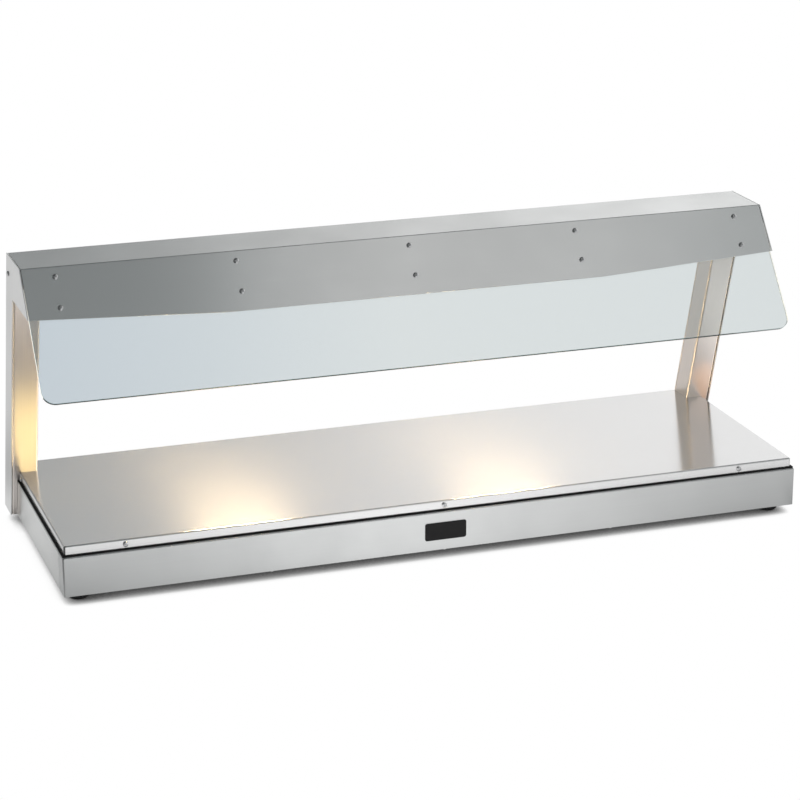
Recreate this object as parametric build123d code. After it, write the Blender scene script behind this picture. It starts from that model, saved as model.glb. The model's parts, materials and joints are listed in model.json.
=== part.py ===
from build123d import *
import math
import os

# Counter-top heated display: a heated stainless plate on a shallow casing, with two leaning
# uprights that carry a lamp canopy and a sloping glass screen. Millimetres, +Z up, +X to the
# right as the customer sees it, +Y towards the server. The origin is on the counter, under the
# middle of the whole outline.

# Hot plate
plate_length = 1415.0
plate_depth = 457.5
plate_flange = 17.0
plate_gauge = 1.5
plate_bend = 3.0
plate_corner = 4.0

# Base casing
base_height = 73.0
front_lip = 8.5
end_lip = 4.5
sheet = 1.5
casing_corner = 3.0
ledge_bend = 2.0
corner_return = 36.0
seam = 0.9
bottom_lip = 12.0
upstand_gap = 0.5
upstand_height = 12.0
panel_gap = 0.5
vent_count = 9
vent_pitch = 120.0
vent_length = 70.0
vent_width = 6.0
vent_inset = 110.0

# Black seal between plate and casing
seal_thickness = 2.5
seal_front_show = 3.0
seal_side_show = 3.5

# Feet
foot_height = 18.0
foot_radius = 19.0
foot_sole_radius = 16.0
foot_neck_radius = 17.0
foot_waist = 12.0
foot_end_inset = 34.0
foot_front_inset = 43.0
foot_stud_radius = 5.0
foot_stud_length = 26.0
foot_thread_gap = 0.1
insert_flange_radius = 11.0
insert_flange_height = 2.0
insert_barrel_radius = 7.5
insert_barrel_height = 13.0

# Uprights and end cheeks
upright_lean = 0.285
upright_depth = 60.0
upright_inset = 34.0
upright_gauge = 1.5
upright_bend = 2.5
upright_setback = 1.5
upright_lip = 12.0
notch_gap = 0.3
cheek_overhang = 17.0
cheek_gauge = 2.0
cover_gauge = 1.5
cover_inset = 0.4
cover_gap = 0.5
cover_screw_margin = 40.0
spacer_rise = 6.0
spacer_height = 26.0
spacer_depth = 26.0
bracket_gauge = 2.0
bracket_height = 54.0
bracket_reach = 29.0
bracket_clear = 3.0
bracket_screw_drop = 36.0
bracket_screw_behind = 21.0

# Canopy
canopy_height = 448.5
canopy_top_depth = 119.4
canopy_bend = 1.5
canopy_end_gap = 1.2
fascia_angle = 38.1
fascia_end_length = 98.4
fascia_mid_length = 117.5
fascia_mid_half = 365.0
back_return = 14.0

# Glass screen and what clamps it
glass_thickness = 6.0
glass_top = 34.0
glass_bottom = 256.5
glass_corner = 24.0
glass_top_corner = 3.0
glass_arris = 0.6
gasket_thickness = 1.5
gasket_top = 60.0
gasket_bottom = 88.0
clamp_gauge = 2.0
clamp_bend = 1.0
clamp_top = 12.0
clamp_bottom = 92.0
clamp_return = 22.0
clamp_end_inset = 30.0
soffit_start = 16.0
spacer_bar_bottom = 28.0
bush_radius = 4.5
fascia_screw_pitch = 331.5
fascia_screw_columns = 5
fascia_screw_upper = 20.0
fascia_screw_lower = 80.0

# Heat lamps
lamp_offset = 275.0
lamp_gap = 3.0
lamp_rise = 18.0
lamp_tube_radius = 5.5
lamp_tube_length = 172.0
lamp_end_radius = 6.0
lamp_end_length = 16.0
lamp_pin_radius = 4.0
lamp_pin_length = 8.0
lamp_socket_gap = 0.2
reflector_gauge = 1.0
reflector_bend = 1.0
reflector_length = 280.0
reflector_mouth = 84.0
reflector_top = 40.0
reflector_height = 38.0
reflector_flange = 6.0
holder_width = 14.0
holder_height = 22.0
guard_wire_radius = 1.5
guard_overlap = 4.0
guard_tail = 2.0
guard_weld = 0.6
guard_long_bars = 5
guard_cross_bars = 7
connector_length = 56.0
connector_depth = 22.0
connector_height = 18.0

# Heating under the plate
heater_count = 4
heater_gap = 20.0
heater_margin = 30.0
heater_thickness = 2.5
heater_corner = 6.0
heater_tab_width = 24.0
heater_tab_length = 9.0
insulation_thickness = 20.0
insulation_margin = 18.0
tray_gauge = 1.2
tray_wall = 14.0
tray_gap = 0.5
stud_radius = 2.5
stud_hole_gap = 0.5
stud_spread = 130.0
stud_projection = 3.0
stud_nut_flats = 8.0
stud_nut_height = 4.0

# Controls on the server's side
knob_x = 560.0
knob_radius = 20.0
knob_grip_radius = 14.0
knob_skirt = 6.0
knob_length = 20.0
knob_cap = 3.0
knob_flutes = 10
knob_flute_radius = 2.0
knob_pointer_width = 2.0
dial_radius = 29.0
dial_hole_radius = 8.0
dial_thickness = 0.8
shaft_radius = 3.0
shaft_clearance = 0.05
shaft_seat = 12.0
thermostat_size = 36.0
thermostat_length = 28.0
thermostat_corner = 3.0
thermostat_bush_radius = 5.0
phial_radius = 3.0
phial_length = 90.0
phial_groove_gap = 0.4
capillary_radius = 1.0
capillary_hole_radius = 2.5
capillary_reach = 21.0
capillary_rise = 7.0
capillary_entry = 14.0
capillary_bend = 6.0
capillary_wide_bend = 14.0
switch_x = 480.0
switch_width = 23.0
switch_height = 31.0
switch_bezel = 2.0
switch_corner = 2.0
switch_edge = 0.8
switch_barrel_width = 20.0
switch_barrel_height = 26.0
switch_barrel_length = 24.0
switch_cavity_depth = 8.0
rocker_width = 16.4
rocker_height = 22.6
rocker_face = 2.2
rocker_root = 4.0
rocker_tilt = 8.0
rocker_pivot_depth = 0.5
rocker_side_gap = 0.3
rocker_end_gap = 0.7
rocker_pin_radius = 1.2
rocker_pin_length = 1.1
rocker_pin_gap = 0.1
neon_x = 430.0
neon_lens_radius = 6.0
neon_lens_height = 3.5
neon_dome = 2.4
neon_barrel_radius = 4.8
neon_barrel_length = 22.0

# Mains entry
gland_x = -600.0
gland_bore_radius = 4.5
gland_thread_radius = 9.85
gland_thread_length = 12.0
gland_hex_flats = 24.0
gland_hex_height = 5.0
gland_dome_length = 14.0
gland_dome_base = 11.0
gland_dome_top = 8.0
gland_nut_flats = 27.0
gland_nut_height = 5.0
terminal_length = 60.0
terminal_width = 22.0
terminal_height = 18.0
terminal_ways = 4
terminal_bore = 2.0
terminal_distance = 80.0

# Badge, left plain
badge_length = 80.0
badge_height = 34.0
badge_thickness = 1.2
badge_corner = 4.0

# Fasteners and leads
screw_radius = 2.5
screw_head_radius = 4.75
screw_head_height = 3.2
screw_recess_width = 1.1
hole_clearance = 0.15
nut_flats = 8.0
nut_height = 4.0
flange_screw_spread = 597.0
flange_screw_drop = 9.0
end_screw_setback = 69.5
screw_spare = 2.5
screw_dome = 1.6
screw_tip = 0.8
soffit_screw_inset = 8.0
cable_radius = 3.0
cable_bend = 18.0
cable_wide_bend = 60.0
cable_setback = 75.0
cable_dip = 10.0
cable_turn = 72.0
cable_exit = 14.0
cable_slot_rise = 8.0
cable_slot_margin = 6.0
cable_low_rise = 50.0
cable_high_rise = 160.0
cable_drop = 26.0
cable_approach = 30.0
cable_slot_gap = 1.0
cable_hole_radius = 5.0
lead_radius = 1.5
lead_straight = 38.0
lead_bend = 20.0
touch_gap = 0.3

# Levels
base_bottom = foot_height
panel_top = base_bottom + 2 * sheet
ledge_z = base_bottom + base_height
flange_z = ledge_z + seal_thickness
plate_z = flange_z + plate_flange
plate_under = plate_z - plate_gauge
heater_under = plate_under - heater_thickness
insulation_under = heater_under - insulation_thickness
tray_under = insulation_under - tray_gauge
canopy_z = plate_z + canopy_height
canopy_under = canopy_z - sheet
control_z = base_bottom + base_height / 2
spacer_bottom = base_bottom + spacer_rise
spacer_top = spacer_bottom + spacer_height

# Lengthwise lines, measured from the middle
plate_end = plate_length / 2
base_end = plate_end + end_lip
cheek_out = plate_end + cheek_overhang
cheek_in = cheek_out - cheek_gauge
flange_in = cheek_in - upright_gauge
upright_in = plate_end - upright_inset
canopy_end = cheek_in - canopy_end_gap
clamp_end = canopy_end - clamp_end_inset

# Depthwise lines: the casing is as deep as the leaning cheeks need at its bottom edge
rear_lip = upright_lean * (plate_z - base_bottom)
base_depth = front_lip + plate_depth + rear_lip
knob_start = dial_thickness + touch_gap
whole_depth = badge_thickness + base_depth + knob_start + knob_length
base_front = badge_thickness - whole_depth / 2
base_back = base_front + base_depth
plate_front = base_front + front_lip
plate_back = plate_front + plate_depth
plate_middle = plate_front + plate_depth / 2
wall_inside = base_back - sheet
lip_inset = cover_inset + cover_gauge

# Outlines seen from above, as X limits and Y limits
base_outline = [(-base_end, base_end), (base_front, base_back)]
plate_outline = [(-plate_end, plate_end), (plate_front, plate_back)]

# Fascia directions in the depth and height plane
slope_sin = math.sin(math.radians(fascia_angle))
slope_cos = math.cos(math.radians(fascia_angle))


def upright_back(z):
    """Depth of the uprights' back edge at a height."""
    return plate_back - upright_lean * (z - plate_z)


def upright_front(z):
    """Depth of the cheeks' front edge at a height."""
    return upright_back(z) - upright_depth


def upright_middle(z):
    """Depth of the uprights' hollow middle at a height."""
    return upright_back(z) - upright_depth / 2


crease_y = upright_back(canopy_z) - canopy_top_depth
glass_face = sheet + gasket_thickness
glass_back = glass_face + glass_thickness
clamp_face = glass_back + gasket_thickness
clamp_back = clamp_face + clamp_gauge
fascia = Plane(origin=(0, crease_y, canopy_z), x_dir=(1, 0, 0), z_dir=(0, -slope_cos, slope_sin))


def fascia_point(down, inwards):
    """Depth and height of a point, by its way down the fascia and inwards from its face."""
    y = crease_y - down * slope_sin + inwards * slope_cos
    z = canopy_z - down * slope_cos - inwards * slope_sin
    return y, z


clamp_foot_y, clamp_foot_z = fascia_point(clamp_bottom, clamp_face)
end_panel_y, end_panel_z = fascia_point(fascia_end_length, 0)
soffit_z = clamp_foot_z + clamp_gauge
soffit_top = soffit_z + sheet
soffit_front = clamp_foot_y + soffit_start
return_z = soffit_z - sheet
guard_half_depth = reflector_mouth / 2 + guard_overlap
lamp_y = clamp_foot_y + clamp_return + lamp_gap + guard_half_depth + guard_tail
lamp_z = soffit_top + lamp_rise
lamp_half = lamp_tube_length / 2 + lamp_end_length
reflector_half = reflector_length / 2
cable_top_z = canopy_under - cable_drop
connector_y = upright_middle(cable_top_z)
lead_z = soffit_top + connector_height / 2


# Shared shapes

def block(x, y, z):
    """Box between three pairs of limits."""
    spans = (x, y, z)
    middle = [(low + high) / 2 for low, high in spans]
    lengths = [high - low for low, high in spans]
    return Pos(*middle) * Box(*lengths)


def about(middle, width):
    """Pair of limits about a middle."""
    return (middle - width / 2, middle + width / 2)


def grown(outline, amount):
    """Outline of X and Y limits, moved outwards all round."""
    return [(low - amount, high + amount) for low, high in outline]


def frame_block(outer, inner, z):
    """Rectangular ring between two outlines."""
    return block(*outer, z) - block(*inner, (z[0] - 1, z[1] + 1))


def fascia_block(x, down, inwards):
    """Box in the fascia's own directions."""
    return fascia * block(x, (-down[1], -down[0]), (-inwards[1], -inwards[0]))


def offset_left(line, distance):
    """Points of an open line moved to its left, with mitred corners."""
    normals = []
    for start, end in zip(line, line[1:]):
        length = math.dist(start, end)
        normals.append(((start[1] - end[1]) / length, (end[0] - start[0]) / length))
    pairs = zip([normals[0]] + normals, normals + [normals[-1]])
    moved = []
    for point, (a, b) in zip(line, pairs):
        factor = distance / (1 + a[0] * b[0] + a[1] * b[1])
        moved.append((point[0] + factor * (a[0] + b[0]), point[1] + factor * (a[1] + b[1])))
    return moved


def folded_section(line, gauge, bend):
    """Face of a sheet folded along a line, with the sheet on the line's left."""
    inner = offset_left(line, gauge)
    near = [0.0]
    far = [0.0]
    for before, corner, after in zip(line, line[1:], line[2:]):
        first = (corner[0] - before[0], corner[1] - before[1])
        second = (after[0] - corner[0], after[1] - corner[1])
        turns_left = first[0] * second[1] > first[1] * second[0]
        near.append(bend + gauge if turns_left else bend)
        far.append(bend if turns_left else bend + gauge)
    radii = near + [0.0, 0.0] + far[:0:-1] + [0.0]
    return make_face(FilletPolyline(*line, *inner[::-1], radius=radii, close=True))


def along_x(section, low, high):
    """Section drawn in depth and height, run along the length."""
    return Pos(low, 0, 0) * extrude(Plane.YZ * section, high - low)


def leaning(section, low, high):
    """Section drawn in length and in depth from the uprights' back edge, run up their lean."""
    run = (high - low) * math.hypot(1, upright_lean)
    start = Pos(0, upright_back(low), low) * section
    return extrude(start, run, dir=(0, -upright_lean, 1))


def leaning_block(x, behind, z):
    """Box with its depth measured from the uprights' back edge, run up their lean."""
    middle = Pos(sum(x) / 2, sum(behind) / 2)
    return leaning(middle * Rectangle(x[1] - x[0], behind[1] - behind[0]), *z)


def facing(point, outward):
    """Place on a surface, with its own Z axis out of it and its own X axis level."""
    level = (0, 1, 0) if outward[0] else (1, 0, 0)
    return Plane(origin=point, x_dir=level, z_dir=outward).location


def rear_place(x):
    """Place on the rear wall's outer face, at the height of the controls."""
    return facing((x, base_back, control_z), (0, 1, 0))


def rod(place, radius, low, high):
    """Cylinder along a place's own Z axis."""
    return place * (Pos(0, 0, (low + high) / 2) * Cylinder(radius, high - low))


def pan_screw(place, reach):
    """Pan-head screw with a cross recess, seated at a place and reaching inwards."""
    head = Pos(0, 0, screw_head_height / 2) * Cylinder(screw_head_radius, screw_head_height)
    head = fillet(head.edges().group_by(Axis.Z)[-1], screw_dome)
    bar = (screw_head_radius, screw_recess_width, screw_head_height)
    recess = Box(*bar) + Rot(0, 0, 90) * Box(*bar)
    head -= Pos(0, 0, screw_head_height) * recess
    shank = Pos(0, 0, -reach / 2) * Cylinder(screw_radius, reach)
    return place * (head + shank)


def drilled(part, places, radius, reach):
    """Part with round holes through it at the places."""
    for place in places:
        part -= rod(place, radius, -reach, reach)
    return part


def hex_nut(place, flats, height, bore):
    """Hexagon nut that stands out from a place."""
    outline = RegularPolygon(flats / 2, 6, major_radius=False) - Circle(bore)
    return place * extrude(outline, height)


def tube_along(points, bends, radius):
    """Round lead along straight runs joined by arcs."""
    path = FilletPolyline(*points, radius=bends)
    start = Plane(origin=path @ 0, z_dir=path % 0)
    return sweep(start * Circle(radius), path=path)


def mirrored(part):
    """Mirror image at the other end."""
    return mirror(part, about=Plane.YZ)


def at_both_ends(parts):
    """Parts and their mirror images."""
    return [copy for part in parts for copy in (part, mirrored(part))]


# Places that several pieces share

screw_hole = screw_radius + hole_clearance
flange_screw_reach = plate_gauge + upstand_gap + sheet + screw_spare
fascia_screw_reach = clamp_back + nut_height + screw_tip
cover_screw_reach = cover_gauge + upright_gauge + screw_spare
spacer_screw_reach = flange_in - base_end
cheek_screw_reach = cheek_gauge + upright_gauge + bracket_gauge + screw_spare


def flange_screw_places():
    """Screws through the plate's turned-down edges into the casing's upstand."""
    z = plate_z - flange_screw_drop
    places = []
    for x in (-flange_screw_spread, 0.0, flange_screw_spread):
        places.append(facing((x, plate_front, z), (0, -1, 0)))
        places.append(facing((x, plate_back, z), (0, 1, 0)))
    for side in (-1, 1):
        point = (side * plate_end, plate_back - end_screw_setback, z)
        places.append(facing(point, (side, 0, 0)))
    return places


def fascia_screw_places(down):
    """One row of screws on the fascia's face."""
    middle = (fascia_screw_columns - 1) / 2
    columns = [(column - middle) * fascia_screw_pitch for column in range(fascia_screw_columns)]
    return [fascia.location * Pos(x, -down, 0) for x in columns]


def spacer_places():
    """Bolts from inside the casing's right end into its spacer block."""
    z = (spacer_bottom + spacer_top) / 2
    depths = about(upright_middle(z), spacer_depth / 2)
    return [facing((base_end - sheet, y, z), (-1, 0, 0)) for y in depths]


def cover_screw_places():
    """Screws that hold the right upright's rear cover on its lips."""
    low = plate_z + cover_screw_margin
    high = return_z - cover_screw_margin
    inset = (upright_lip + upright_gauge) / 2
    places = []
    for x in (upright_in + inset, cheek_in - inset):
        for z in (low, (low + high) / 2, high):
            point = (x, upright_back(z) - cover_inset, z)
            places.append(facing(point, (0, 1, upright_lean)))
    return places


def soffit_screw_places():
    """Screws up through the canopy's rear return into the soffit."""
    y = upright_back(return_z) - soffit_screw_inset
    columns = (-fascia_screw_pitch, 0.0, fascia_screw_pitch)
    return [facing((x, y, return_z), (0, 0, -1)) for x in columns]


def bottom_screw_places():
    """Screws up through the casing's bottom lip into the bottom panel."""
    inset = sheet + bottom_lip / 2
    places = []
    for x in (-fascia_screw_pitch, 0.0, fascia_screw_pitch):
        for y in (base_front + inset, base_back - inset):
            places.append(facing((x, y, base_bottom), (0, 0, -1)))
    return places


def cheek_screw_place():
    """Screw through the right cheek into the canopy bracket."""
    z = canopy_z - bracket_screw_drop
    return facing((cheek_out, upright_back(z) - bracket_screw_behind, z), (1, 0, 0))


def foot_places():
    """Middles of the four feet on the counter, by corner."""
    x = base_end - foot_end_inset
    front = base_front + foot_front_inset
    back = base_back - foot_front_inset
    return {
        "front_left": Pos(-x, front, 0),
        "front_right": Pos(x, front, 0),
        "back_left": Pos(-x, back, 0),
        "back_right": Pos(x, back, 0),
    }


def heater_spans():
    """X limits of each heater pad, side by side with gaps between."""
    room = plate_length - 2 * heater_margin - (heater_count - 1) * heater_gap
    width = room / heater_count
    first = -plate_end + heater_margin
    pitch = width + heater_gap
    return [(first + i * pitch, first + i * pitch + width) for i in range(heater_count)]


def stud_places():
    """Welded studs under the plate, in the gaps between the heater pads."""
    spans = heater_spans()
    columns = [(left[1] + right[0]) / 2 for left, right in zip(spans, spans[1:])]
    rows = (plate_middle - stud_spread, plate_middle + stud_spread)
    return [facing((x, y, plate_under), (0, 0, -1)) for x in columns for y in rows]


phial_x = (heater_spans()[-2][1] + heater_spans()[-1][0]) / 2
phial_z = plate_under - touch_gap - phial_radius
phial_back = plate_middle + phial_length / 2
capillary_y = phial_back + capillary_reach
cable_slot_low = spacer_top + cable_slot_rise
cable_slot_high = ledge_z - 2 * sheet
cable_slot_y = upright_middle((cable_slot_low + cable_slot_high) / 2)


# Base

def rear_openings():
    """Holes in the rear wall for the thermostat, switch, neon and gland."""
    width = switch_barrel_width + 2 * hole_clearance
    height = switch_barrel_height + 2 * hole_clearance
    depths = (wall_inside - 1, base_back + 1)
    cuts = [block(about(switch_x, width), depths, about(control_z, height))]
    round_holes = (
        (knob_x, thermostat_bush_radius),
        (neon_x, neon_barrel_radius),
        (gland_x, gland_thread_radius),
    )
    for x, radius in round_holes:
        cuts.append(rod(rear_place(x), radius + hole_clearance, -sheet - 1, 1))
    return cuts


def end_openings():
    """Holes in the end walls for the spacer bolts, and the lamp lead's slot on the right."""
    cuts = at_both_ends([rod(place, screw_hole, -2 * sheet, 1) for place in spacer_places()])
    width = 2 * (cable_radius + cable_slot_gap)
    lengths = (base_end - sheet - 1, base_end + 1)
    cuts.append(block(lengths, about(cable_slot_y, width), (cable_slot_low, cable_slot_high)))
    return cuts


def casing_ring():
    """Walls, ledge, upstand and bottom lip of the casing as one folded ring."""
    outside = block(*base_outline, (base_bottom, ledge_z))
    outside = fillet(outside.edges().filter_by(Axis.Z), casing_corner)
    outside = fillet(outside.edges().group_by(Axis.Z)[-1], ledge_bend)
    inside = block(*grown(base_outline, -sheet), (base_bottom + sheet, ledge_z - sheet))
    inside = fillet(inside.edges().filter_by(Axis.Z), casing_corner - sheet)
    upstand = grown(plate_outline, -plate_gauge - upstand_gap)
    opening = grown(upstand, -sheet)
    ring = outside - inside
    bottom_opening = grown(base_outline, -sheet - bottom_lip)
    ring -= block(*bottom_opening, (base_bottom - 1, base_bottom + sheet + 1))
    ring -= block(*opening, (ledge_z - sheet - 1, ledge_z + 1))
    rim = block(*upstand, (ledge_z - sheet, ledge_z + upstand_height))
    rim = fillet(rim.edges().filter_by(Axis.Z), plate_corner - plate_gauge)
    ring += rim - block(*opening, (base_bottom, plate_z))
    ring = drilled(ring, flange_screw_places(), screw_hole, flange_screw_reach)
    ring = drilled(ring, bottom_screw_places(), screw_hole, 2 * sheet)
    for cut in rear_openings() + end_openings():
        ring -= cut
    return ring


def casing_pieces():
    """Front panel with its corner returns, and the casing of ends and rear, split at a seam."""
    ring = casing_ring()
    reach = (-base_end - 1, base_end + 1)
    heights = (base_bottom - 1, plate_z)
    split = base_front + corner_return
    front = ring & block(reach, (base_front - 1, split), heights)
    rest = ring - block(reach, (base_front - 1, split + seam), heights)
    return front, rest


def bottom_panel():
    """Flat panel on the casing's bottom lip, with vent slots and holes for the feet."""
    outline = grown(base_outline, -sheet - panel_gap)
    panel = block(*outline, (base_bottom + sheet, panel_top))
    panel = fillet(panel.edges().filter_by(Axis.Z), casing_corner)
    slot = extrude(SlotOverall(vent_length, vent_width), 4 * sheet)
    for y in (base_front + vent_inset, base_back - vent_inset):
        for i in range(vent_count):
            x = (i - (vent_count - 1) / 2) * vent_pitch
            panel -= Pos(x, y, base_bottom) * slot
    for place in foot_places().values():
        panel -= rod(place, foot_stud_radius + 2 * touch_gap, 0, 2 * panel_top)
    return drilled(panel, bottom_screw_places(), screw_hole, 4 * sheet)


def plate_seal():
    """Black gasket that the plate's edge stands on, showing past it on the ledge."""
    width, depth = grown(plate_outline, seal_side_show)
    outer = [width, (plate_front - seal_front_show, depth[1])]
    inner = grown(plate_outline, -plate_gauge - upstand_gap + touch_gap)
    return frame_block(outer, inner, (ledge_z, flange_z))


def hot_plate():
    """Stainless tray turned upside down over the casing, with studs welded underneath."""
    outside = block(*plate_outline, (flange_z, plate_z))
    outside = fillet(outside.edges().filter_by(Axis.Z), plate_corner)
    outside = fillet(outside.edges().group_by(Axis.Z)[-1], plate_bend)
    inside = block(*grown(plate_outline, -plate_gauge), (flange_z - plate_flange, plate_under))
    inside = fillet(inside.edges().filter_by(Axis.Z), plate_corner - plate_gauge)
    inside = fillet(inside.edges().group_by(Axis.Z)[-1], plate_bend - plate_gauge)
    plate = drilled(outside - inside, flange_screw_places(), screw_hole, flange_screw_reach)
    length = plate_under - tray_under + stud_nut_height + stud_projection
    for place in stud_places():
        plate += rod(place, stud_radius, -plate_gauge / 2, length)
    return plate


def heater_pad(span):
    """Flat foil heater pressed against the plate, with a terminal tab at its rear edge."""
    depths = (plate_front + heater_margin, plate_back - heater_margin)
    pad = block(span, depths, (heater_under, plate_under))
    pad = fillet(pad.edges().filter_by(Axis.Z), heater_corner)
    tab_depths = (depths[1] - 1, depths[1] + heater_tab_length)
    return pad + block(about(sum(span) / 2, heater_tab_width), tab_depths, (heater_under, plate_under))


def insulation_board():
    """Fibre board under the heaters, grooved for the thermostat's phial."""
    board = block(*grown(plate_outline, -insulation_margin), (insulation_under, heater_under))
    board = drilled(board, stud_places(), stud_radius + stud_hole_gap, insulation_thickness * 2)
    groove_floor = phial_z - phial_radius - touch_gap
    width = 2 * (phial_radius + phial_groove_gap)
    depths = (plate_middle - phial_length / 2 - touch_gap, capillary_y + capillary_hole_radius)
    board -= block(about(phial_x, width), depths, (groove_floor, heater_under + 1))
    hole = Pos(phial_x, capillary_y, 0)
    return board - rod(hole, capillary_hole_radius, 0, plate_z)


def heater_tray():
    """Sheet-steel tray that holds the insulation and heaters up against the plate."""
    inner = grown(plate_outline, -insulation_margin + tray_gap)
    outer = grown(inner, tray_gauge)
    tray = block(*outer, (tray_under, tray_under + tray_wall))
    tray -= block(*inner, (insulation_under, plate_z))
    tray = drilled(tray, stud_places(), stud_radius + stud_hole_gap, plate_under - tray_under + 1)
    hole = Pos(phial_x, capillary_y, 0)
    return tray - rod(hole, capillary_hole_radius, 0, plate_z)


def tray_nuts():
    """Nuts that pull the tray up on the plate's studs."""
    below = [place * Pos(0, 0, plate_under - tray_under) for place in stud_places()]
    bore = stud_radius + hole_clearance
    return [hex_nut(place, stud_nut_flats, stud_nut_height, bore) for place in below]


def badge_plate():
    """Plain badge with rounded corners on the front panel."""
    place = facing((0, base_front, control_z), (0, -1, 0))
    badge = extrude(RectangleRounded(badge_length, badge_height, badge_corner), badge_thickness)
    badge = fillet(badge.edges().group_by(Axis.Z)[-1], badge_thickness / 2)
    return place * badge


# Feet

def foot(place):
    """Moulded foot with a threaded stud, screwed fully in."""
    top = base_bottom + sheet - touch_gap
    edge = foot_radius - foot_sole_radius
    points = [(0, 0), (foot_sole_radius, 0), (foot_radius, edge), (foot_radius, foot_waist)]
    points += [(foot_neck_radius, top), (0, top)]
    body = revolve(Plane.XZ * make_face(Polyline(*points, close=True)), Axis.Z)
    return place * (body + rod(Pos(0, 0, 0), foot_stud_radius, top, top + foot_stud_length))


def foot_insert(place):
    """Flanged threaded insert in the bottom panel."""
    top = panel_top + insert_barrel_height
    insert = rod(place, insert_flange_radius, panel_top, panel_top + insert_flange_height)
    insert += rod(place, insert_barrel_radius, panel_top, top)
    return insert - rod(place, foot_stud_radius + foot_thread_gap, 0, top + 1)


# Controls and mains entry

def thermostat_body():
    """Thermostat case on the rear wall, with the bush that carries its shaft."""
    inner = (wall_inside - thermostat_length, wall_inside)
    case = block(about(knob_x, thermostat_size), inner, about(control_z, thermostat_size))
    case = fillet(case.edges().filter_by(Axis.Y), thermostat_corner)
    place = rear_place(knob_x)
    case += rod(place, thermostat_bush_radius, -sheet - 1, dial_thickness / 2)
    return case - rod(place, shaft_radius + shaft_clearance, -sheet - shaft_seat, 1 + sheet)


def thermostat_shaft():
    """Steel spindle that the knob turns."""
    end = knob_start + knob_length - knob_cap - touch_gap
    return rod(rear_place(knob_x), shaft_radius, -sheet - shaft_seat + touch_gap, end)


def thermostat_knob():
    """Round knob with a skirt, a fluted grip and a pointer that stands up at rest."""
    place = rear_place(knob_x) * Pos(0, 0, knob_start)
    skirt = Pos(0, 0, knob_skirt / 2) * Cylinder(knob_radius, knob_skirt)
    skirt = fillet(skirt.edges().group_by(Axis.Z)[-1], knob_skirt / 3)
    grip = Pos(0, 0, knob_length / 2) * Cylinder(knob_grip_radius, knob_length)
    grip = fillet(grip.edges().group_by(Axis.Z)[-1], knob_cap / 2)
    for i in range(knob_flutes):
        angle = 360 * (i + 0.5) / knob_flutes
        flute = Pos(knob_grip_radius + knob_flute_radius / 2, 0, knob_length / 2 + knob_skirt)
        grip -= Rot(0, 0, angle) * flute * Cylinder(knob_flute_radius, knob_length)
    knob = skirt + grip
    knob -= rod(Pos(0, 0, 0), shaft_radius + shaft_clearance, -1, knob_length - knob_cap)
    length = knob_radius - knob_grip_radius
    middle = knob_grip_radius + length / 2 - knob_pointer_width
    bar = Box(knob_pointer_width, length, knob_pointer_width)
    return place * (knob + Pos(0, -middle, knob_skirt) * bar)


def dial_ring():
    """Thin printed ring round the knob."""
    ring = Circle(dial_radius) - Circle(dial_hole_radius)
    return rear_place(knob_x) * extrude(ring, dial_thickness)


def thermostat_phial():
    """Sensing phial in the insulation's groove, and its capillary to the thermostat."""
    start = facing((phial_x, phial_back, phial_z), (0, 1, 0))
    phial = rod(start, phial_radius, -phial_length, 0)
    low = control_z + capillary_rise
    across = wall_inside - 2 * thermostat_length
    side = knob_x - thermostat_size / 2
    entry = wall_inside - thermostat_length / 2
    points = [
        (phial_x, phial_back - 1, phial_z),
        (phial_x, capillary_y, phial_z),
        (phial_x, capillary_y, low),
        (switch_x + switch_width, across, low),
        (side - capillary_entry, entry, low),
        (side, entry, low),
    ]
    bends = [capillary_bend, capillary_wide_bend, capillary_wide_bend, capillary_bend]
    return phial + tube_along(points, bends, capillary_radius)


def switch_body():
    """Switch case with its bezel, and the cavity that the rocker tips in."""
    depths = (wall_inside - switch_barrel_length, base_back)
    body = block(about(switch_x, switch_barrel_width), depths, about(control_z, switch_barrel_height))
    bezel_depths = (base_back, base_back + switch_bezel)
    bezel = block(about(switch_x, switch_width), bezel_depths, about(control_z, switch_height))
    bezel = fillet(bezel.edges().filter_by(Axis.Y), switch_corner)
    bezel = fillet(bezel.edges().group_by(Axis.Y)[-1], switch_edge)
    width = rocker_width + 2 * rocker_side_gap
    height = rocker_height + 2 * rocker_end_gap
    window = (base_back - switch_cavity_depth, base_back + switch_bezel + 1)
    cavity = block(about(switch_x, width), window, about(control_z, height))
    pivot = facing((switch_x, base_back - rocker_pivot_depth, control_z), (1, 0, 0))
    half = rocker_width / 2 + rocker_pin_length + rocker_pin_gap
    return body + bezel - cavity - rod(pivot, rocker_pin_radius + rocker_pin_gap, -half, half)


def switch_rocker():
    """Rocker with a shallow V face on two pivot pins, tipped to its on side."""
    end = rocker_height / 2
    rise = rocker_face + end * math.tan(math.radians(rocker_tilt))
    outline = [(-rocker_root, -end), (-rocker_root, end), (rise, end), (rocker_face, 0), (rise, -end)]
    section = make_face(Polyline(*outline, close=True))
    rocker = along_x(section, -rocker_width / 2, rocker_width / 2)
    half = rocker_width / 2 + rocker_pin_length
    rocker += rod(facing((0, 0, 0), (1, 0, 0)), rocker_pin_radius, -half, half)
    return Pos(switch_x, base_back - rocker_pivot_depth, control_z) * Rot(rocker_tilt, 0, 0) * rocker


def heat_neon():
    """Indicator with a domed lens outside and its barrel inside."""
    place = rear_place(neon_x)
    lens = Pos(0, 0, neon_lens_height / 2) * Cylinder(neon_lens_radius, neon_lens_height)
    lens = fillet(lens.edges().group_by(Axis.Z)[-1], neon_dome)
    return place * lens + rod(place, neon_barrel_radius, -neon_barrel_length, 0)


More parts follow.
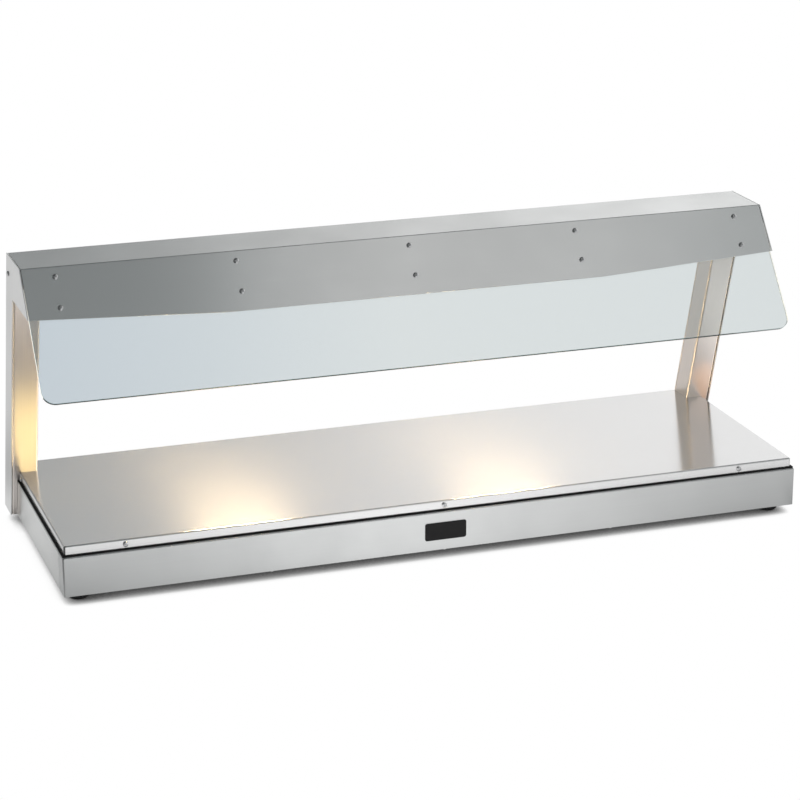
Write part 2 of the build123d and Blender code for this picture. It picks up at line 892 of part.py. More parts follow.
def cable_gland():
    """Gland through the rear wall with a hexagon, a domed end and a clear bore."""
    place = rear_place(gland_x)
    body = extrude(RegularPolygon(gland_hex_flats / 2, 6, major_radius=False), gland_hex_height)
    middle = gland_hex_height + gland_dome_length / 2
    body += Pos(0, 0, middle) * Cone(gland_dome_base, gland_dome_top, gland_dome_length)
    body += rod(Pos(0, 0, 0), gland_thread_radius, -sheet - gland_thread_length, 0)
    length = sheet + gland_thread_length + gland_hex_height + gland_dome_length
    return place * (body - rod(Pos(0, 0, 0), gland_bore_radius, -length, length))


def gland_nut():
    """Lock nut on the gland's thread, inside the wall."""
    place = facing((gland_x, wall_inside, control_z), (0, -1, 0))
    return hex_nut(place, gland_nut_flats, gland_nut_height, gland_thread_radius + hole_clearance)


def terminal_block():
    """Terminal block on the bottom panel, where the mains lead would end."""
    y = base_back - terminal_distance
    z = (panel_top, panel_top + terminal_height)
    body = block(about(gland_x, terminal_length), about(y, terminal_width), z)
    pitch = terminal_length / terminal_ways
    for i in range(terminal_ways):
        x = gland_x + (i - (terminal_ways - 1) / 2) * pitch
        through = facing((x, y, panel_top + terminal_height / 3), (0, 1, 0))
        body -= rod(through, terminal_bore, -terminal_width, terminal_width)
        above = facing((x, y, panel_top + terminal_height), (0, 0, 1))
        body -= rod(above, terminal_bore, -terminal_height / 3, 1)
    return body


# Gantry

def end_cheek():
    """Right outer sheet: the upright's outside and the canopy's end in one flat piece."""
    outline = [
        (upright_back(base_bottom), base_bottom),
        (upright_front(base_bottom), base_bottom),
        (upright_front(end_panel_z), end_panel_z),
        (end_panel_y, end_panel_z),
        (crease_y, canopy_z),
        (upright_back(canopy_z), canopy_z),
    ]
    cheek = along_x(make_face(Polyline(*outline, close=True)), cheek_in, cheek_out)
    return drilled(cheek, [cheek_screw_place()], screw_hole, cheek_screw_reach)


def upright():
    """Right channel: a lipped C that stands on the plate and laps down past the casing."""
    front = upright_setback - upright_depth
    line = [
        (upright_in + upright_lip, -lip_inset),
        (upright_in, -lip_inset),
        (upright_in, front),
        (cheek_in, front),
        (cheek_in, -lip_inset),
        (cheek_in - upright_lip, -lip_inset),
    ]
    section = folded_section(line, upright_gauge, upright_bend)
    channel = leaning(section, base_bottom, canopy_under - touch_gap)
    depths = (plate_front, base_back + upright_depth)
    channel -= block((0, base_end + notch_gap), depths, (base_bottom - 1, flange_z + notch_gap))
    channel -= block((0, plate_end + notch_gap), depths, (base_bottom - 1, plate_z))
    channel = drilled(channel, cover_screw_places(), screw_hole, cover_screw_reach)
    channel = drilled(channel, [cheek_screw_place()], screw_hole, cheek_screw_reach)
    window = facing((upright_in, connector_y, cable_top_z), (1, 0, 0))
    return channel - rod(window, cable_hole_radius, -1, 2 * upright_gauge)


def upright_cover():
    """Right rear cover that closes the channel behind the wiring."""
    lengths = (upright_in + cover_gap, cheek_in - cover_gap)
    heights = (plate_z + touch_gap, return_z - cover_gap)
    cover = leaning_block(lengths, (-lip_inset, -cover_inset), heights)
    return drilled(cover, cover_screw_places(), screw_hole, cover_screw_reach)


def upright_spacer():
    """Right block between the casing's end and the upright's outer flange."""
    depths = about(upright_middle((spacer_bottom + spacer_top) / 2), spacer_depth)
    spacer = block((base_end, flange_in), depths, (spacer_bottom, spacer_top))
    return drilled(spacer, spacer_places(), screw_hole, 2 * spacer_screw_reach)


def canopy_bracket():
    """Right angle bracket inside the upright's head, up against the canopy's top."""
    low = canopy_under - bracket_height
    front = upright_front(low) + upright_setback + upright_gauge + bracket_clear
    back = upright_back(canopy_under) - lip_inset - upright_gauge - bracket_clear
    side = block((flange_in - bracket_gauge, flange_in), (front, back), (low, canopy_under))
    top_heights = (canopy_under - bracket_gauge, canopy_under)
    bracket = side + block((flange_in - bracket_reach, flange_in), (front, back), top_heights)
    return drilled(bracket, [cheek_screw_place()], screw_hole, cheek_screw_reach)


def fascia_end_cut():
    """Wedge that tapers the right of the fascia's lower edge up to the cheek."""
    past = fascia_mid_length + sheet
    corners = [
        (fascia_mid_half, -fascia_mid_length),
        (canopy_end, -fascia_end_length),
        (canopy_end + 1, -fascia_end_length),
        (canopy_end + 1, -past),
        (fascia_mid_half, -past),
    ]
    wedge = extrude(make_face(Polyline(*corners, close=True)), 2 * sheet, both=True)
    return fascia * wedge


def canopy_shell():
    """Folded canopy sheet: rear return, back, top and the sloping fascia with its deep middle."""
    line = [
        (upright_back(return_z) - back_return, return_z),
        (upright_back(return_z), return_z),
        (upright_back(canopy_z), canopy_z),
        (crease_y, canopy_z),
        fascia_point(fascia_mid_length, 0),
    ]
    shell = along_x(folded_section(line, sheet, canopy_bend), -canopy_end, canopy_end)
    for cut in at_both_ends([fascia_end_cut()]):
        shell -= cut
    ends = (upright_in - cover_gap, canopy_end + 1)
    behind = (-2 * back_return, cover_inset / 2 - lip_inset)
    clear = leaning_block(ends, behind, (return_z - 1, soffit_top))
    for cut in at_both_ends([clear]):
        shell -= cut
    for down in (fascia_screw_upper, fascia_screw_lower):
        shell = drilled(shell, fascia_screw_places(down), screw_hole, 2 * sheet)
    return drilled(shell, soffit_screw_places(), screw_hole, 2 * sheet)


def canopy_soffit():
    """Panel that closes the canopy from below, with an opening under each lamp."""
    heights = (soffit_z, soffit_top)
    back = upright_back(soffit_top) - sheet - canopy_bend - cover_gap
    inner_half = upright_in - cover_gap
    web = upright_front(soffit_top) + upright_setback - cover_gap
    soffit = block((-inner_half, inner_half), (soffit_front, back), heights)
    soffit += block((-canopy_end, canopy_end), (soffit_front, web), heights)
    lengths = reflector_length - 2 * reflector_gauge
    for side in (-1, 1):
        mouth = about(lamp_y, reflector_mouth)
        soffit -= block(about(side * lamp_offset, lengths), mouth, (soffit_z - 1, soffit_top + 1))
    return drilled(soffit, soffit_screw_places(), screw_hole, 3 * sheet)


# Glass screen

def glass_screen():
    """Toughened pane clamped behind the fascia, with rounded lower corners."""
    half = canopy_end
    corners = [(-half, -glass_top), (half, -glass_top), (half, -glass_bottom), (-half, -glass_bottom)]
    radii = [glass_top_corner, glass_top_corner, glass_corner, glass_corner]
    pane = extrude(make_face(FilletPolyline(*corners, radius=radii, close=True)), glass_thickness)
    rims = pane.edges().group_by(Axis.Z)
    pane = chamfer(rims[0] + rims[-1], glass_arris)
    pane = fascia * (Pos(0, 0, -glass_back) * pane)
    lower = fascia_screw_places(fascia_screw_lower)
    return drilled(pane, lower, bush_radius + hole_clearance, clamp_back)


def glass_gaskets():
    """Rubber strips on both faces of the pane, between the fascia and the clamp bar."""
    strips = []
    for inwards in ((sheet, glass_face), (glass_back, clamp_face)):
        strip = fascia_block((-clamp_end, clamp_end), (gasket_top, gasket_bottom), inwards)
        lower = fascia_screw_places(fascia_screw_lower)
        strips.append(drilled(strip, lower, bush_radius + hole_clearance, clamp_back))
    return strips


def glass_bushes():
    """Nylon sleeves that keep the lower screws off the glass."""
    bushes = []
    for place in fascia_screw_places(fascia_screw_lower):
        sleeve = rod(place, bush_radius, -clamp_face, -sheet)
        bushes.append(sleeve - rod(place, screw_hole, -clamp_back, 0))
    return bushes


def glass_spacer_bar():
    """Bar as thick as the pane and its strips, above the pane's top edge."""
    down = (clamp_top, spacer_bar_bottom)
    bar = fascia_block((-clamp_end, clamp_end), down, (sheet, clamp_face))
    return drilled(bar, fascia_screw_places(fascia_screw_upper), screw_hole, clamp_back)


def glass_clamp_bar():
    """Folded bar behind the pane, with a foot that carries the soffit's front edge."""
    line = [
        fascia_point(clamp_top, clamp_face),
        (clamp_foot_y, clamp_foot_z),
        (clamp_foot_y + clamp_return, clamp_foot_z),
    ]
    bar = along_x(folded_section(line, clamp_gauge, clamp_bend), -clamp_end, clamp_end)
    for down in (fascia_screw_upper, fascia_screw_lower):
        bar = drilled(bar, fascia_screw_places(down), screw_hole, clamp_back + nut_height)
    return bar


def fascia_fasteners():
    """Pan-head screws on the fascia, and the nuts behind the clamp bar."""
    places = fascia_screw_places(fascia_screw_upper) + fascia_screw_places(fascia_screw_lower)
    screws = [pan_screw(place, fascia_screw_reach) for place in places]
    behind = [place * Pos(0, 0, -clamp_back - nut_height) for place in places]
    nuts = [hex_nut(place, nut_flats, nut_height, screw_hole) for place in behind]
    return screws, nuts


# Heat lamps, modelled on the right and mirrored

def lamp_place():
    """Middle of the right lamp, with its own Z axis along the tube."""
    return facing((lamp_offset, lamp_y, lamp_z), (1, 0, 0))


def lamp_reflector():
    """Folded trough over the lamp, closed by end plates and flanged on the soffit."""
    low = (soffit_top, soffit_top + reflector_height)
    mouth = about(lamp_y, reflector_mouth)
    top = about(lamp_y, reflector_top)
    line = [
        (mouth[0] - reflector_flange, low[0]),
        (mouth[0], low[0]),
        (top[0], low[1]),
        (top[1], low[1]),
        (mouth[1], low[0]),
        (mouth[1] + reflector_flange, low[0]),
    ]
    ends = about(lamp_offset, reflector_length)
    trough = along_x(folded_section(line, reflector_gauge, reflector_bend), *ends)
    corners = offset_left(line, reflector_gauge / 2)[1:5]
    plate = make_face(Polyline(*corners, close=True))
    trough += along_x(plate, ends[0], ends[0] + reflector_gauge)
    return trough + along_x(plate, ends[1] - reflector_gauge, ends[1])


def quartz_lamp():
    """Linear quartz lamp with ceramic ends and contact pins."""
    place = lamp_place()
    lamp = rod(place, lamp_tube_radius, -lamp_tube_length / 2, lamp_tube_length / 2)
    for low, high in ((-lamp_half, -lamp_tube_length / 2), (lamp_tube_length / 2, lamp_half)):
        lamp += rod(place, lamp_end_radius, low, high)
    reach = lamp_half + lamp_pin_length
    return lamp + rod(place, lamp_pin_radius, -reach, reach)


def lamp_holders():
    """Ceramic blocks at the trough's two ends, with the sockets that the lamp's pins sit in."""
    holders = []
    depths = about(lamp_y, holder_width)
    heights = about(lamp_z, holder_height)
    reach = lamp_half + lamp_pin_length + lamp_socket_gap
    sockets = rod(lamp_place(), lamp_pin_radius + lamp_socket_gap, -reach, reach)
    outer = reflector_half - reflector_gauge
    inner = lamp_half + lamp_socket_gap
    for span in ((-outer, -inner), (inner, outer)):
        lengths = [lamp_offset + edge for edge in span]
        holders.append(block(lengths, depths, heights) - sockets)
    return holders


def lamp_guard():
    """Welded wire guard under the lamp's opening, with its cross wires below its long ones."""
    half_length = reflector_half + guard_overlap
    long_z = soffit_z - guard_wire_radius
    cross_z = long_z - 2 * guard_wire_radius + guard_weld
    wires = []
    for i in range(guard_long_bars):
        y = lamp_y + guard_half_depth * (2 * i / (guard_long_bars - 1) - 1)
        reach = half_length + guard_tail
        place = facing((lamp_offset, y, long_z), (1, 0, 0))
        wires.append(rod(place, guard_wire_radius, -reach, reach))
    for i in range(guard_cross_bars):
        x = lamp_offset + half_length * (2 * i / (guard_cross_bars - 1) - 1)
        reach = guard_half_depth + guard_tail
        place = facing((x, lamp_y, cross_z), (0, 1, 0))
        wires.append(rod(place, guard_wire_radius, -reach, reach))
    return wires[0].fuse(*wires[1:])


# Wiring

def lamp_connector():
    """Ceramic connector on the soffit, between the two lamps."""
    heights = (soffit_top, soffit_top + connector_height)
    return block(about(0, connector_length), about(connector_y, connector_depth), heights)


def lamp_cable():
    """Lead from the switch, out through the casing's end, up the right upright to the connector."""
    behind = base_back - cable_setback
    inside = (base_end + flange_in) / 2
    high_x = (upright_in + cheek_in) / 2
    low_z = plate_z + cable_low_rise
    high_z = plate_z + cable_high_rise
    entry = connector_length / 2
    entry_y = connector_y + cable_radius
    points = [
        (switch_x, wall_inside - switch_barrel_length, control_z),
        (switch_x, behind, control_z),
        (base_end - cable_turn, behind, control_z - cable_dip),
        (base_end - cable_exit, cable_slot_y, cable_slot_low - cable_slot_margin),
        (inside, cable_slot_y, cable_slot_high - cable_slot_margin),
        (inside, upright_middle(low_z), low_z),
        (high_x, upright_middle(high_z), high_z),
        (high_x, connector_y, cable_top_z),
        (entry + 2 * cable_approach, connector_y, cable_top_z),
        (entry + cable_approach, entry_y, lead_z),
        (entry, entry_y, lead_z),
    ]
    bends = 4 * [cable_bend] + 2 * [cable_wide_bend] + 2 * [cable_bend] + [cable_bend / 2]
    return tube_along(points, bends, cable_radius)


def lamp_lead():
    """Right short lead from the connector to its lamp's end plate."""
    start = connector_length / 2
    end = lamp_offset - reflector_half
    y = connector_y - connector_depth / 3
    points = [
        (start, y, lead_z),
        (start + lead_straight, y, lead_z),
        (end - lead_straight, lamp_y, lamp_z),
        (end, lamp_y, lamp_z),
    ]
    return tube_along(points, [lead_bend, lead_bend], lead_radius)


# Pieces by name

front, rest = casing_pieces()
fascia_screws, fascia_nuts = fascia_fasteners()
covers = [pan_screw(place, cover_screw_reach) for place in cover_screw_places()]
panel_screws = bottom_screw_places() + soffit_screw_places()
pads = {f"heater_pad_{i + 1}": heater_pad(span) for i, span in enumerate(heater_spans())}
feet = {f"foot_{corner}": foot(place) for corner, place in foot_places().items()}

handed = {
    "end_cheek": end_cheek(),
    "upright": upright(),
    "upright_cover": upright_cover(),
    "lamp_reflector": lamp_reflector(),
    "quartz_lamp": quartz_lamp(),
    "lamp_guard": lamp_guard(),
}

pieces = {
    "front_panel": front,
    "base_casing": rest,
    "bottom_panel": bottom_panel(),
    "plate_seal": plate_seal(),
    "hot_plate": hot_plate(),
    "plate_screws": [pan_screw(place, flange_screw_reach) for place in flange_screw_places()],
    "insulation_board": insulation_board(),
    "heater_tray": heater_tray(),
    "tray_nuts": tray_nuts(),
    "thermostat_body": thermostat_body(),
    "thermostat_phial": thermostat_phial(),
    "thermostat_shaft": thermostat_shaft(),
    "thermostat_knob": thermostat_knob(),
    "dial_ring": dial_ring(),
    "lamp_switch_body": switch_body(),
    "lamp_switch_rocker": switch_rocker(),
    "heat_neon": heat_neon(),
    "cable_gland": cable_gland(),
    "gland_nut": gland_nut(),
    "terminal_block": terminal_block(),
    "foot_inserts": [foot_insert(place) for place in foot_places().values()],
    "badge_plate": badge_plate(),
    "upright_spacers": at_both_ends([upright_spacer()]),
    "upright_bolts": at_both_ends([pan_screw(place, spacer_screw_reach) for place in spacer_places()]),
    "cover_screws": at_both_ends(covers) + [pan_screw(place, 3 * sheet) for place in panel_screws],
    "canopy_brackets": at_both_ends([canopy_bracket()]),
    "cheek_screws": at_both_ends([pan_screw(cheek_screw_place(), cheek_screw_reach)]),
    "canopy_shell": canopy_shell(),
    "canopy_soffit": canopy_soffit(),
    "glass_screen": glass_screen(),
    "glass_clamp_bar": glass_clamp_bar(),
    "glass_gaskets": glass_gaskets(),
    "glass_bushes": glass_bushes(),
    "glass_spacer_bar": glass_spacer_bar(),
    "fascia_screws": fascia_screws,
    "fascia_nuts": fascia_nuts,
    "lamp_holders": at_both_ends(lamp_holders()),
    "lamp_connector": lamp_connector(),
    "lamp_cable": lamp_cable(),
    "lamp_leads": at_both_ends([lamp_lead()]),
}
pieces.update(pads)
pieces.update(feet)
for name, part in handed.items():
    pieces["right_" + name] = part
    pieces["left_" + name] = mirrored(part)

os.makedirs("parts", exist_ok=True)
for name, part in pieces.items():
    shape = Compound(children=part) if isinstance(part, list) else part
    export_step(shape, f"parts/{name}.step")
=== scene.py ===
import bpy
import bmesh
import json
import math
from mathutils import Matrix, Vector


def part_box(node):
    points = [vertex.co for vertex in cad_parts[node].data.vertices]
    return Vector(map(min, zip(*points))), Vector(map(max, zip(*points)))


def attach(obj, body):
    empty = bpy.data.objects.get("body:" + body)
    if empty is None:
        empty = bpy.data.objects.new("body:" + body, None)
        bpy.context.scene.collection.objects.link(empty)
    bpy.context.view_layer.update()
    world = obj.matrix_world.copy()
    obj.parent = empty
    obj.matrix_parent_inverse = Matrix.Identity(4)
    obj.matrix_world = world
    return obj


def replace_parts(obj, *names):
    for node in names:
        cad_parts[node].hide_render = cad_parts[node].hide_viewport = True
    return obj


# Counter-top heated display, in metres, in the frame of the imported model: +X to the customer's
# right, +Y towards the server, +Z up, standing on the counter at Z 0.
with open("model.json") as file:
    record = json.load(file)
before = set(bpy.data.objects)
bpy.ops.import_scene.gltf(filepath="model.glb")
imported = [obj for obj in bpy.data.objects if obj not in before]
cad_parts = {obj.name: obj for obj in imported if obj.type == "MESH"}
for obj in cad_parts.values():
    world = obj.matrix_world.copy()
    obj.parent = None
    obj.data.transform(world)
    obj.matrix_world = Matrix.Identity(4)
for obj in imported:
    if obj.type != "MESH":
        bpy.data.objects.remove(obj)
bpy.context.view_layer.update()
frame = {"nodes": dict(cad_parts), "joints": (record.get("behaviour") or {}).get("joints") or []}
cad = frame["nodes"]

# Front panel
# The long face that the customer sees: satin stainless sheet, folded round both front corners.
# It is polished along its length, so fine lines run along X, and along Y on the short returns.
# The front panel's colour is darker than the same sheet on the casing: painted shade on the front face.
front_panel_shaded_pale = (0.768, 0.778, 0.775, 1.0)
front_panel_shaded_dark = (0.755, 0.765, 0.762, 1.0)
front_roughness = (0.30, 0.36)
line_width = 0.00012
line_length = 0.012
line_sheen = 0.02
line_relief = 0.03
line_depth = 0.00006
band_width = 0.003
band_length = 0.5
band_sheen = 0.004
smear_size = 0.16
deep_line_width = 0.00008
deep_line_length = 0.0015
deep_line_share = (0.70, 0.76)
end_facing = 0.7


def add_node(tree, kind, inputs=None, **settings):
    """Adds a node with its settings, and links or sets each of its inputs."""
    node = tree.nodes.new(kind)
    for name, value in settings.items():
        setattr(node, name, value)
    for socket, value in (inputs or {}).items():
        if isinstance(value, bpy.types.NodeSocket):
            tree.links.new(value, node.inputs[socket])
        else:
            node.inputs[socket].default_value = value
    return node


def start_finish(name, **constants):
    """New material with one shader, and the settings that are the same all over it."""
    finish = bpy.data.materials.new(name)
    finish.use_nodes = True
    shader = finish.node_tree.nodes["Principled BSDF"]
    for socket, value in constants.items():
        shader.inputs[socket.replace("_", " ").title().replace("Ior", "IOR")].default_value = value
    return finish, finish.node_tree, shader


def speckle(tree, size, turn=0.0, detail=2.0, seed=0.0):
    """Soft noise on the object's own coordinates, its cells of one size or of a size along each axis."""
    coords = add_node(tree, "ShaderNodeTexCoord").outputs["Object"]
    cell = size if isinstance(size, tuple) else (size, size, size)
    inputs = {"Vector": coords, "Location": (seed, seed, seed), "Rotation": (turn, 0, 0), "Scale": cell}
    mapped = add_node(tree, "ShaderNodeMapping", inputs, vector_type="TEXTURE")
    noise = {"Vector": mapped.outputs[0], "Scale": 1.0, "Detail": detail, "Roughness": 0.55}
    return add_node(tree, "ShaderNodeTexNoise", noise).outputs[0]


def spread(tree, value, low, high, start=0.3, stop=0.7):
    """Turns noise into a range of values."""
    inputs = {"Value": value, "From Min": start, "From Max": stop, "To Min": low, "To Max": high}
    return add_node(tree, "ShaderNodeMapRange", inputs).outputs[0]


def tinted(tree, value, low, high, start=0.3, stop=0.7):
    """Turns noise into a range of colours."""
    factor = spread(tree, value, 0.0, 1.0, start, stop)
    mix = add_node(tree, "ShaderNodeMix", {"Factor": factor}, data_type="RGBA")
    mix.inputs[6].default_value = low
    mix.inputs[7].default_value = high
    return mix.outputs[2]


def math_node(tree, operation, first, second):
    """One sum on two values."""
    return add_node(tree, "ShaderNodeMath", {0: first, 1: second}, operation=operation).outputs[0]


def mixed(tree, share, first, second):
    """Goes from the first value to the second as the share goes from nought to one."""
    return add_node(tree, "ShaderNodeMix", {0: share, 2: first, 3: second}).outputs[0]


def rounded_normal(tree, height, strength, depth, edge=0.0006):
    """Surface normal with worn edges, and relief on top of it."""
    worn = add_node(tree, "ShaderNodeBevel", {"Radius": edge}, samples=4).outputs[0]
    inputs = {"Height": height, "Strength": strength, "Distance": depth, "Normal": worn}
    return add_node(tree, "ShaderNodeBump", inputs).outputs[0]


def end_grain(tree, lines):
    """Runs the polishing lines along Y on faces that look along X."""
    normal = add_node(tree, "ShaderNodeNewGeometry").outputs["Normal"]
    sideways = add_node(tree, "ShaderNodeSeparateXYZ", {0: normal}).outputs[0]
    on_end = math_node(tree, "GREATER_THAN", math_node(tree, "ABSOLUTE", sideways, 0.0), end_facing)
    end_lines = speckle(tree, (line_width, line_length, line_width), detail=3.0)
    return mixed(tree, on_end, lines, end_lines)


def brushed_steel(name, dark, pale, rough, across=1.0, grain=(1.0, 0.02, 0.0), turn=0.0, coarse=0.0):
    """Stainless polished in one direction: fine lines, soft streaks and smears, and worn edges."""
    finish, tree, shader = start_finish(name, metallic=1.0, anisotropic=across, anisotropic_rotation=0.25)
    along_z = abs(grain[2]) > 0.5
    line = (line_length, line_width, line_width)
    band = (band_length, band_width, band_width)
    lines = speckle(tree, line[::-1] if along_z else line, turn, detail=3.0)
    bands = speckle(tree, band[::-1] if along_z else band, turn, detail=4.0, seed=0.3)
    if not along_z:
        lines = end_grain(tree, lines)
    smears = speckle(tree, smear_size, detail=4.0, seed=0.7)
    tree.links.new(tinted(tree, bands, dark, pale), shader.inputs["Base Color"])
    streaks = spread(tree, bands, -band_sheen, band_sheen)
    worked = math_node(tree, "ADD", streaks, spread(tree, lines, -line_sheen, line_sheen))
    worked = math_node(tree, "ADD", worked, spread(tree, smears, rough[0], rough[1]))
    if coarse:
        deep_line = (deep_line_length, deep_line_width, deep_line_width)
        deep_lines = speckle(tree, deep_line, turn, detail=0.0, seed=0.9)
        worked = math_node(tree, "ADD", worked, spread(tree, deep_lines, 0.0, coarse, *deep_line_share))
    tree.links.new(worked, shader.inputs["Roughness"])
    tree.links.new(rounded_normal(tree, lines, line_relief, line_depth), shader.inputs["Normal"])
    tangent = add_node(tree, "ShaderNodeCombineXYZ", dict(enumerate(grain))).outputs[0]
    tree.links.new(tangent, shader.inputs["Tangent"])
    return finish


def dress(finish, *names):
    """Gives CAD pieces their finish."""
    for name in names:
        cad[name].material_slots[0].material = finish


# Front panel finish, with painted shade in its darker colour.
front_panel_shaded_steel = brushed_steel("front_panel_shaded_steel", front_panel_shaded_dark, front_panel_shaded_pale, front_roughness)
dress(front_panel_shaded_steel, "front_panel")

# Base casing
# The ends, the rear wall and the ledge under the plate, folded from the same stainless sheet and
# welded into a box. The ends are polished along their depth.
casing_steel_pale = (0.86, 0.87, 0.86, 1.0)
casing_steel_dark = (0.83, 0.84, 0.83, 1.0)
casing_roughness = (0.26, 0.32)
casing_steel = brushed_steel("casing_steel", casing_steel_dark, casing_steel_pale, casing_roughness)
dress(casing_steel, "base_casing")

# Bottom panel and inner tray
# Galvanised steel with the crystal spangle of hot-dip zinc, screwed to the casing's bottom lip.
# The tray that lifts the insulation under the plate is cut from the same sheet.
zinc_pale = (0.58, 0.60, 0.62, 1.0)
zinc_dark = (0.40, 0.42, 0.44, 1.0)
spangle_size = 0.012
zinc_cloud = 0.05
zinc_roughness = (0.32, 0.5)
zinc_relief = 0.1
zinc_depth = 0.0003


def galvanised(name):
    """Zinc-coated sheet with a spangle of flat crystals."""
    finish, tree, shader = start_finish(name, metallic=1.0)
    coords = add_node(tree, "ShaderNodeTexCoord").outputs["Object"]
    crystal = {"Vector": coords, "Scale": 1.0 / spangle_size}
    cells = add_node(tree, "ShaderNodeTexVoronoi", crystal).outputs["Color"]
    cells = add_node(tree, "ShaderNodeSeparateColor", {0: cells}).outputs[0]
    cloud = speckle(tree, zinc_cloud, detail=3.0)
    tone = spread(tree, cells, 0.3, 0.6, 0.0, 1.0)
    tone = math_node(tree, "ADD", tone, spread(tree, cloud, -0.1, 0.1))
    tree.links.new(tinted(tree, tone, zinc_dark, zinc_pale), shader.inputs["Base Color"])
    tree.links.new(spread(tree, cells, *zinc_roughness, 0.0, 1.0), shader.inputs["Roughness"])
    tree.links.new(rounded_normal(tree, tone, zinc_relief, zinc_depth), shader.inputs["Normal"])
    return finish


zinc_sheet = galvanised("zinc_sheet")
dress(zinc_sheet, "bottom_panel", "heater_tray")

# Seal under the plate
# Black silicone gasket that shows as a dark line between the plate's edge and the casing.
# It is cut from sheet, so it is matt, with a little dust in its pores.
rubber_black = (0.006, 0.006, 0.0065, 1.0)
rubber_dusty = (0.014, 0.014, 0.0145, 1.0)
rubber_roughness = (0.55, 0.75)
moulded_cloud = 0.03
moulded_sheen = 0.04
moulded_depth = 0.0002


def moulded(name, dark, pale, rough, pores=0.0012, relief=0.15, **constants):
    """Moulded rubber or plastic: fine pores, an uneven sheen and a faint change of colour."""
    finish, tree, shader = start_finish(name, **constants)
    grain = speckle(tree, pores, detail=3.0)
    cloud = speckle(tree, moulded_cloud, detail=3.0, seed=0.4)
    tree.links.new(tinted(tree, cloud, dark, pale), shader.inputs["Base Color"])
    uneven = spread(tree, grain, -moulded_sheen, moulded_sheen)
    uneven = math_node(tree, "ADD", uneven, spread(tree, cloud, rough[0], rough[1]))
    tree.links.new(uneven, shader.inputs["Roughness"])
    tree.links.new(rounded_normal(tree, grain, relief, moulded_depth), shader.inputs["Normal"])
    return finish


seal_rubber = moulded("seal_rubber", rubber_black, rubber_dusty, rubber_roughness, specular_ior_level=0.15)
dress(seal_rubber, "plate_seal", "glass_gaskets")

# Heaters and insulation
# Four foil heaters bonded under the plate, an aluminium face over an etched element, on a board of
# pale mineral fibre. All of it is shut inside the casing.
foil_pale = (0.80, 0.80, 0.79, 1.0)
foil_dark = (0.62, 0.61, 0.58, 1.0)
fibre_pale = (0.78, 0.75, 0.68, 1.0)
fibre_dark = (0.62, 0.58, 0.50, 1.0)
element_pitch = 0.012
crease_size = 0.01
foil_roughness = (0.2, 0.4)
foil_relief = 0.4
foil_depth = 0.0005


def heater_foil_finish():
    """Creased aluminium foil over the parallel runs of the element."""
    finish, tree, shader = start_finish("heater_foil", metallic=1.0)
    coords = add_node(tree, "ShaderNodeTexCoord").outputs["Object"]
    element = {"Vector": coords, "Scale": 0.3 / element_pitch}
    runs = add_node(tree, "ShaderNodeTexWave", element).outputs[1]
    creases = speckle(tree, crease_size, detail=6.0)
    tree.links.new(tinted(tree, creases, foil_dark, foil_pale), shader.inputs["Base Color"])
    tree.links.new(spread(tree, creases, *foil_roughness), shader.inputs["Roughness"])
    relief = math_node(tree, "ADD", runs, spread(tree, creases, 0.0, 0.6))
    tree.links.new(rounded_normal(tree, relief, foil_relief, foil_depth), shader.inputs["Normal"])
    return finish


heater_foil = heater_foil_finish()
dress(heater_foil, "heater_pad_1", "heater_pad_2", "heater_pad_3", "heater_pad_4")
fibre_board = moulded("fibre_board", fibre_dark, fibre_pale, (0.85, 0.95), pores=0.0025, relief=0.6)
dress(fibre_board, "insulation_board")

# Hot plate
# The heated top: a tray of thicker stainless turned upside down, polished finer than the casing, so
# the uprights mirror in it. It carries the light scratches of dishes pushed along it.
plate_steel_pale = (0.76, 0.76, 0.76, 1.0)
plate_steel_dark = (0.74, 0.74, 0.74, 1.0)
plate_roughness = (0.175, 0.185)
plate_anisotropy = 0.80
plate_coarse_lines = 0.70
scratch_size = (0.09, 0.0011, 0.09)
scratch_share = (0.72, 0.80)
scratch_turns = (0.25, -0.4, 0.9)
scratch_depth = 0.5


def scratched(finish, turns, depth):
    """Adds light dish scratches in a few directions to a steel finish."""
    tree = finish.node_tree
    bump = next(node for node in tree.nodes if node.type == "BUMP")
    lines = bump.inputs["Height"].links[0].from_socket
    for number, turn in enumerate(turns):
        coords = add_node(tree, "ShaderNodeTexCoord").outputs["Object"]
        inputs = {"Vector": coords, "Rotation": (0, 0, turn), "Scale": scratch_size}
        mapped = add_node(tree, "ShaderNodeMapping", inputs, vector_type="TEXTURE").outputs[0]
        noise = {"Vector": mapped, "Scale": 1.0, "Detail": 1.0, "W": number * 3.1}
        cuts = add_node(tree, "ShaderNodeTexNoise", noise, noise_dimensions="4D").outputs[0]
        lines = math_node(tree, "SUBTRACT", lines, spread(tree, cuts, 0.0, depth, *scratch_share))
    tree.links.new(lines, bump.inputs["Height"])


plate_steel = brushed_steel("plate_steel", plate_steel_dark, plate_steel_pale, plate_roughness,
                            across=plate_anisotropy, coarse=plate_coarse_lines)
scratched(plate_steel, scratch_turns, scratch_depth)
dress(plate_steel, "hot_plate")

# Plate screws
# Pan-head screws with a cross recess, through the plate's turned-down edges: three along the front,
# three along the back and one at each end. Bright zinc-plated steel, tightened by hand.
head_radius = 0.00475
head_height = 0.0032
head_dome = 0.42
recess_width = 0.0013
recess_length = 0.0056
recess_depth = 0.0018
screw_pale = (0.84, 0.84, 0.84, 1.0)
screw_dark = (0.72, 0.72, 0.73, 1.0)
tool_mark_size = 0.0006
tool_mark_relief = 0.12
tool_mark_depth = 0.0001
plated_edge = 0.0003
plating_cloud = 0.004
plate_screw_drop = 0.009
plate_screw_spread = 0.597
end_screw_setback = 0.0695


